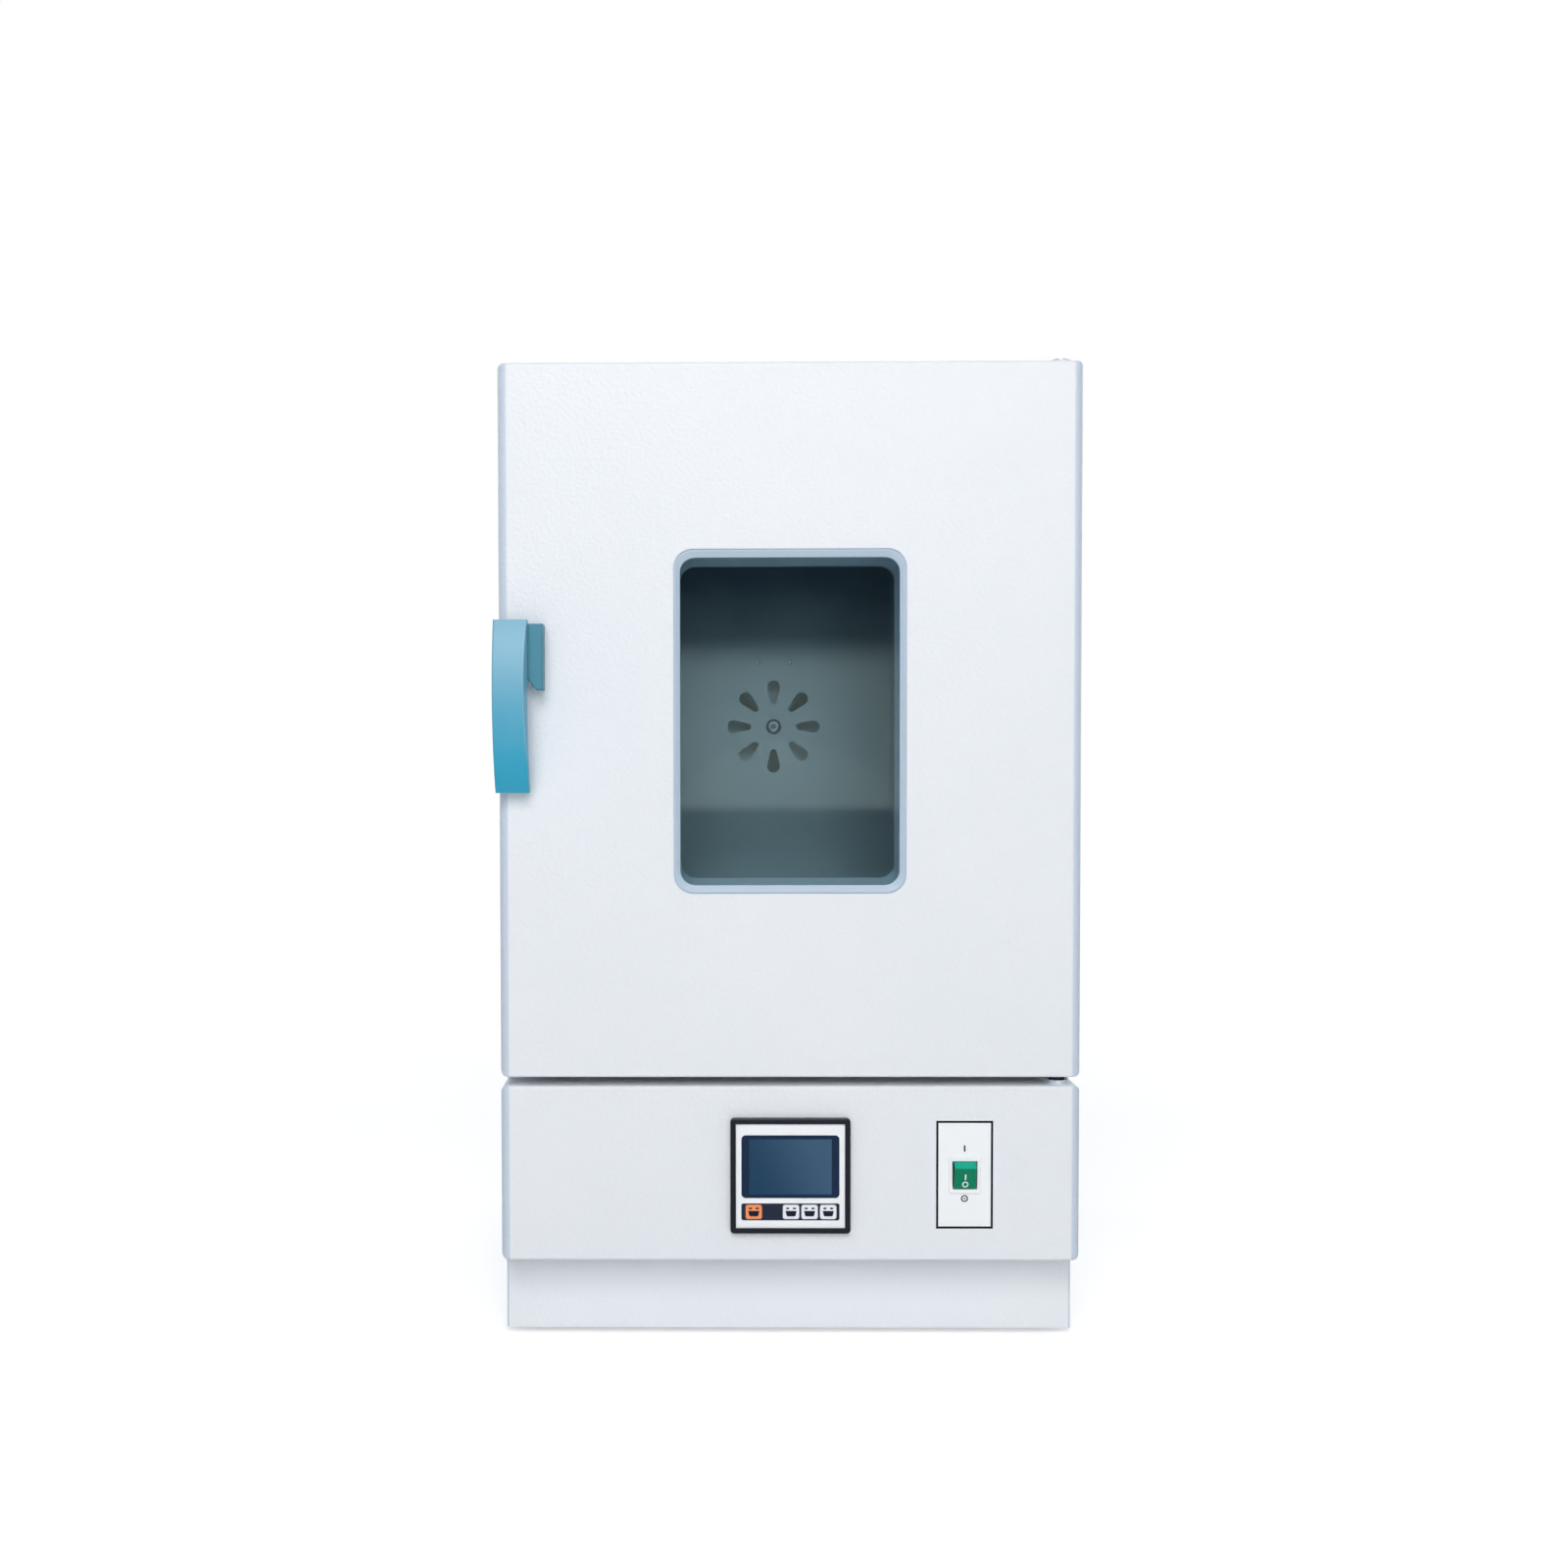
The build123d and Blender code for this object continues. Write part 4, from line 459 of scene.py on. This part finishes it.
# %% Dress the CAD pieces
finishes = {
    white_coat: ["cabinet_shell", "front_frame", "rear_cover", "control_panel", "door_skin", "hinge_plates"],
    plinth_coat_painted_light: ["base_plinth"],
    chamber_steel: ["chamber_liner", "door_inner_panel", "glass_retainer", "shelf_racks"],
    baffle_steel: ["fan_baffle"],
    bright_steel: ["wire_shelf", "hinge_pins", "strike_pin", "latch_hook", "handle_pin", "motor_shaft",
                   "impeller_nut", "baffle_screws", "hinge_screws", "rear_cover_screws", "control_panel_screws",
                   "retainer_screws", "temperature_probe", "vent_tube"],
    zinc_sheet: ["divider_plate", "rear_bulkhead", "fan_motor"],
    aluminium: ["vent_ring", "vent_cap"],
    fan_metal: ["fan_impeller"],
    sheath: ["heating_element"],
    brass: ["hinge_bushes"],
    ceramic: ["heater_glands"],
    mineral_wool: ["cabinet_insulation", "door_insulation"],
    silicone: ["door_seal"],
    black_rubber: ["rubber_feet"],
    bezel_plastic: ["window_bezel"],
    tunnel_coat: ["window_tunnel"],
    pane_glass: ["outer_glass", "inner_glass"],
    lever_plastic: ["handle_lever"],
    block_plastic_painted_shade: ["handle_block"],
    # The thrust washer is a real part, but it is black plastic so that it merges with the shaded gap under the
    # door: painted shade.
    black_plastic: ["controller_frame", "controller_case", "power_inlet", "fuse_holder", "thrust_washer"],
    white_plastic: ["controller_face", "power_plate", "switch_housing"],
    display_glass: ["display_lens"],
    strip_dark: ["key_strip"],
    key_orange: ["key_run"],
    key_pale: ["key_set", "key_down", "key_up"],
    rocker_green: ["power_rocker"],
}
for material, names in finishes.items():
    for name in names:
        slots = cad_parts[name].data.materials
        slots.clear()
        slots.append(material)
undressed = set(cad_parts) - {name for names in finishes.values() for name in names}
print("without a finish:", sorted(undressed))


# %% [markdown]
# ## Printed marks
# The marks on the keys, the rocker and the switch plate are prints a few hundredths of a millimetre thick.
# Each is a flat shape made of grids and circles and given that thickness, and it rides on the body that it
# is printed on.

# %% Helpers for prints
ink_depth = 0.05 * MM


def finish_piece(mesh, name, material, body):
    """Turns a bmesh into an object with a finish that rides on a body."""
    bmesh.ops.remove_doubles(mesh, verts=mesh.verts, dist=1e-7)
    bmesh.ops.recalc_face_normals(mesh, faces=mesh.faces)
    data = bpy.data.meshes.new(name)
    mesh.to_mesh(data)
    mesh.free()
    data.materials.append(material)
    piece = bpy.data.objects.new(name, data)
    bpy.context.scene.collection.objects.link(piece)
    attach(piece, body)
    return piece


def stood_up(x, y, z):
    """The turn that stands a flat shape up to face the viewer, at a place."""
    return Matrix.Translation((x, y, z)) @ Matrix.Rotation(math.radians(90), 4, "X")


def disc(mesh, x, z, radius, y, segments=20):
    """A filled round dot that faces the viewer, at depth y."""
    made = bmesh.ops.create_circle(mesh, cap_ends=True, segments=segments, radius=radius)
    bmesh.ops.transform(mesh, matrix=stood_up(x, y, z), verts=made["verts"])
    return made["verts"]


def bar(mesh, x, z, width, height, y):
    """A filled upright rectangle at depth y."""
    made = bmesh.ops.create_grid(mesh, x_segments=1, y_segments=1, size=0.5)
    sized = stood_up(x, y, z) @ Matrix.Diagonal((width, height, 1, 1))
    bmesh.ops.transform(mesh, matrix=sized, verts=made["verts"])
    return made["verts"]


def ring(mesh, x, z, outer, inner, y, segments=32):
    """A flat ring at depth y."""
    loops = []
    for radius in (outer, inner):
        made = bmesh.ops.create_circle(mesh, cap_ends=False, segments=segments, radius=radius)
        bmesh.ops.transform(mesh, matrix=stood_up(x, y, z), verts=made["verts"])
        loops += list({edge for vert in made["verts"] for edge in vert.link_edges})
    bmesh.ops.bridge_loops(mesh, edges=loops)


def raise_print(mesh):
    """Gives flat shapes the thickness of a print, towards the viewer."""
    made = bmesh.ops.extrude_face_region(mesh, geom=mesh.faces[:])
    moved = [part for part in made["geom"] if isinstance(part, bmesh.types.BMVert)]
    bmesh.ops.translate(mesh, verts=moved, vec=(0, -ink_depth, 0))


ink_dark = moulded("ink_dark", colour(16, 22, 44), 0.50, 0.0003, 0.000004, shine=0.2)
ink_white = moulded("ink_white", colour(236, 244, 242), 0.45, 0.0003, 0.000004)
print("prints are", ink_depth / MM, "mm thick")


# %% [markdown]
# ## Key symbols
# Each key has a small generic sign: two dots over a shallow tray. The tray is a grid whose lower edge is
# drawn in.

# %% Draw the key symbols
key_bodies = {"key_run": "run_key", "key_set": "set_key", "key_down": "down_key", "key_up": "up_key"}
dot_radius, dot_apart, dot_above = 1.1 * MM, 2.7 * MM, 3.0 * MM
tray_width, tray_depth, tray_below = 8.8 * MM, 4.4 * MM, 1.2 * MM
for node, body in key_bodies.items():
    low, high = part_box(node)
    x, z, front = (low[0] + high[0]) / 2, (low[2] + high[2]) / 2, low[1]
    sign = bmesh.new()
    for side in (-1, 1):
        dot = disc(sign, 0, 0, dot_radius, front)
        bmesh.ops.transform(sign, verts=dot, matrix=Matrix.Translation((x + side * dot_apart, 0, z + dot_above))
                            @ Matrix.Diagonal((1.25, 1, 0.7, 1)))
    tray = bar(sign, x, z - tray_below, tray_width, tray_depth, front)
    bottom = [vert for vert in tray if vert.co.z < z - tray_below]
    for vert in bottom:
        vert.co.x = x + (vert.co.x - x) * 0.8
    bmesh.ops.bevel(sign, geom=bottom, offset=1.0 * MM, segments=3, profile=0.5, affect="VERTICES", material=-1)
    raise_print(sign)
    finish_piece(sign, f"{node}_sign", ink_dark, body)
print("signs on", list(key_bodies))


# %% [markdown]
# ## Switch plate prints
# The plate has a thin printed border, a stroke for on above the switch and a ring with a dot for off below
# it.

# %% Draw the switch plate prints
plate_low, plate_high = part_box("power_plate")
plate_x, plate_z = (plate_low[0] + plate_high[0]) / 2, (plate_low[2] + plate_high[2]) / 2
plate_front = plate_low[1]
line, inset = 1.8 * MM, 1.1 * MM
half_x = (plate_high[0] - plate_low[0]) / 2 - inset
half_z = (plate_high[2] - plate_low[2]) / 2 - inset
stroke_z, ring_z = plate_z + 21.2 * MM, plate_z - 19.2 * MM

border = bmesh.new()
for side in (-1, 1):
    bar(border, plate_x + side * half_x, plate_z, line, 2 * half_z + line, plate_front)
    bar(border, plate_x, plate_z + side * half_z, 2 * half_x - line, line, plate_front)
bar(border, plate_x, stroke_z, 1.3 * MM, 5.0 * MM, plate_front)
ring(border, plate_x, ring_z, 2.8 * MM, 1.8 * MM, plate_front)
disc(border, plate_x, ring_z, 0.7 * MM, plate_front)
raise_print(border)
finish_piece(border, "plate_prints", ink_dark, "cabinet")


# %% [markdown]
# ## Rocker prints
# The rocker's face has a white stroke and a white ring. The face is tilted, so the flat marks are let down
# onto it: a ray from the viewer's side finds the surface behind each vertex, as a transfer follows what it
# is laid on.

# %% Draw the rocker prints
def lay_on(mesh, node, lift=0.01 * MM):
    """Moves each vertex along Y onto the front of a CAD piece."""
    surface = BVHTree.FromObject(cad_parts[node], bpy.context.evaluated_depsgraph_get())
    for vert in mesh.verts:
        hit = surface.ray_cast(Vector((vert.co.x, -1.0, vert.co.z)), Vector((0, 1, 0)))[0]
        vert.co.y = hit.y - lift


rocker_low, rocker_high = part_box("power_rocker")
rocker_x, rocker_z = (rocker_low[0] + rocker_high[0]) / 2, (rocker_low[2] + rocker_high[2]) / 2
marks = bmesh.new()
bar(marks, rocker_x, rocker_z - 0.6 * MM, 1.1 * MM, 4.6 * MM, 0)
ring(marks, rocker_x, rocker_z - 6.8 * MM, 2.5 * MM, 1.6 * MM, 0)
lay_on(marks, "power_rocker")
raise_print(marks)
finish_piece(marks, "rocker_marks", ink_white, "rocker")
print("rocker marks at", [round(v / MM, 1) for v in (rocker_x, rocker_z)], "mm")


# %% [markdown]
# ## The floor, the light and the background
# A catalogue picture has a white background and soft light with hardly a shadow. A large lamp above the
# camera lights the front, with a wide one at half height and a weak one near the floor. Weaker lamps come
# from both sides and from behind. The world is white to the camera and to mirrors, and dimmer as a lamp.

# %% Light the scene
def lamp(name, place, aim, size, power):
    """A rectangular soft lamp at a place, turned to its aim."""
    data = bpy.data.lights.new(name, "AREA")
    data.shape = "RECTANGLE"
    data.size, data.size_y = size
    data.energy = power
    light = bpy.data.objects.new(name, data)
    bpy.context.scene.collection.objects.link(light)
    look = (Vector(aim) - Vector(place)).to_track_quat("-Z", "Y")
    light.matrix_world = Matrix.Translation(place) @ look.to_matrix().to_4x4()
    return light


lamp("key_lamp", (-0.35, -2.8, 2.4), (0, -0.2, 0.5), (1.5, 1.2), 40)
lamp("fill_lamp", (0.15, -3.1, 1.38), (0, -0.2, 0.4), (2.8, 0.8), 22)
low = lamp("low_lamp", (0.15, -3.1, 0.25), (0, -0.2, 0.15), (2.4, 0.4), 6)
low.visible_glossy = False
lamp("left_lamp", (-2.4, 1.5, 1.2), (0, 0.2, 0.45), (1.4, 1.8), 10)
lamp("right_lamp", (2.4, 1.5, 1.2), (0, 0.2, 0.45), (1.4, 1.8), 10)
lamp("back_lamp", (0.6, 2.8, 2.2), (0, 0, 0.5), (2.2, 1.6), 18)

world = bpy.data.worlds.new("room")
world.use_nodes = True
bpy.context.scene.world = world
room_light = Nodes(world.node_tree)
rays = room_light.make("ShaderNodeLightPath").outputs
either = {"operation": "MAXIMUM"}
direct = room_light.number("ShaderNodeMath", either, rays["Is Camera Ray"], rays["Is Glossy Ray"])
direct = room_light.number("ShaderNodeMath", either, direct, rays["Is Transmission Ray"])
dim = room_light.make("ShaderNodeBackground", None, {"Color": (0.93, 0.96, 1.0, 1), "Strength": 0.24})
shine = room_light.make("ShaderNodeBackground", None, {"Color": (1, 1, 1, 1)})
sky = room_light.make("ShaderNodeMixShader", None, {0: direct, 1: dim.outputs[0], 2: shine.outputs[0]})
room_light.show(sky.outputs[0], "World Output")
bpy.context.scene.view_settings.view_transform = "Standard"

# %% [markdown]
# The floor is matt and nearly white. To the camera a little of its own light is added, and further out it
# turns to plain white, so that it meets the white background without an edge and still shows the contact
# shadow.

# %% Lay the floor
floor_radius = 7.0
fade_start, fade_end = 0.7, 1.6
floor_mesh = bmesh.new()
bmesh.ops.create_circle(floor_mesh, cap_ends=True, segments=96, radius=floor_radius)
floor_data = bpy.data.meshes.new("floor")
floor_mesh.to_mesh(floor_data)
floor_mesh.free()
floor = bpy.data.objects.new("floor", floor_data)
bpy.context.scene.collection.objects.link(floor)
floor_finish = Finish("floor_paint", Roughness=0.9)
cloud = floor_finish.noise(0.4, detail=2.0)
floor_finish.set("Base Color", floor_finish.blend(cloud, (0.85, 0.86, 0.87), (0.88, 0.89, 0.90)))
across, along = floor_finish.axis("X"), floor_finish.axis("Y")
away = floor_finish.number("ShaderNodeMath", {"operation": "SQRT"}, across * across + along * along)
glow = floor_finish.make("ShaderNodeEmission", None, {"Color": (1, 1, 1, 1), "Strength": 0.45})
near = floor_finish.make("ShaderNodeAddShader", None, {0: floor_finish.shader.outputs[0], 1: glow.outputs[0]})
white = floor_finish.make("ShaderNodeEmission", None, {"Color": (1, 1, 1, 1), "Strength": 1.0})
gradient_mask = soft_step(away, fade_start, fade_end)
seen_floor = floor_finish.make("ShaderNodeMixShader", None,
                               {0: gradient_mask, 1: near.outputs[0], 2: white.outputs[0]})
seen = floor_finish.make("ShaderNodeLightPath").outputs["Is Camera Ray"]
choice = floor_finish.make("ShaderNodeMixShader", None,
                           {0: seen, 1: floor_finish.shader.outputs[0], 2: seen_floor.outputs[0]})
floor_finish.show(choice.outputs[0], "Material Output")
floor_data.materials.append(floor_finish.material)

# %% [markdown]
# A photographer hangs cards round a white object on a white ground. One behind the camera is what the panes
# mirror: a dark room with a pale band, the far wall, over the edge of a table. One on each side darkens the
# rounded edges of the door, so that they stand out from the background. Only mirror rays see the cards.

# %% Hang the cards
def hang_card(name, place, width, height, turned=0):
    """An upright card that only mirrors see, and its finish."""
    mesh = bmesh.new()
    bmesh.ops.create_grid(mesh, x_segments=1, y_segments=1, size=0.5)
    hung = Matrix.Translation(place) @ Matrix.Rotation(math.radians(turned), 4, "Z") @ stood_up(0, 0, 0)
    bmesh.ops.transform(mesh, verts=mesh.verts[:], matrix=hung @ Matrix.Diagonal((width, height, 1, 1)))
    data = bpy.data.meshes.new(name)
    mesh.to_mesh(data)
    mesh.free()
    card = bpy.data.objects.new(name, data)
    bpy.context.scene.collection.objects.link(card)
    card.visible_camera = card.visible_shadow = card.visible_diffuse = False
    cloth = Finish(f"{name}_cloth", Roughness=1.0, Emission_Strength=1.0)
    cloth.set("Base Color", cloth.blend(cloth.noise(0.01), (0.02, 0.02, 0.02), (0.03, 0.03, 0.03)))
    data.materials.append(cloth.material)
    return cloth


room = hang_card("room_card", (0, -3.4, 0.75), 3.2, 1.4)
height, across = room.axis("Z"), room.axis("X")
wall = soft_step(height, 0.315, 0.345) * (1 - soft_step(height, 0.675, 0.76))
table_x, table_z, table_radius = 0.14, 0.148, 0.35
rim = (across - table_x) * (across - table_x) + (height - table_z) * (height - table_z)
table = 1 - soft_step(rim, table_radius ** 2 - 0.002, table_radius ** 2 + 0.002)
room.set("Emission Color", room.blend(wall * (0.78 + table * 0.22), (0.02, 0.05, 0.08), (0.68, 0.80, 0.76)))

for side in (-1, 1):
    flag = hang_card(f"side_card_{side + 1}", (side * 1.1, -0.7, 0.7), 2.2, 1.8, turned=90)
    flag.set("Emission Color", flag.blend(flag.noise(0.3), (0.26, 0.30, 0.36), (0.30, 0.34, 0.40)))
print("cards hang behind the camera and on both sides")
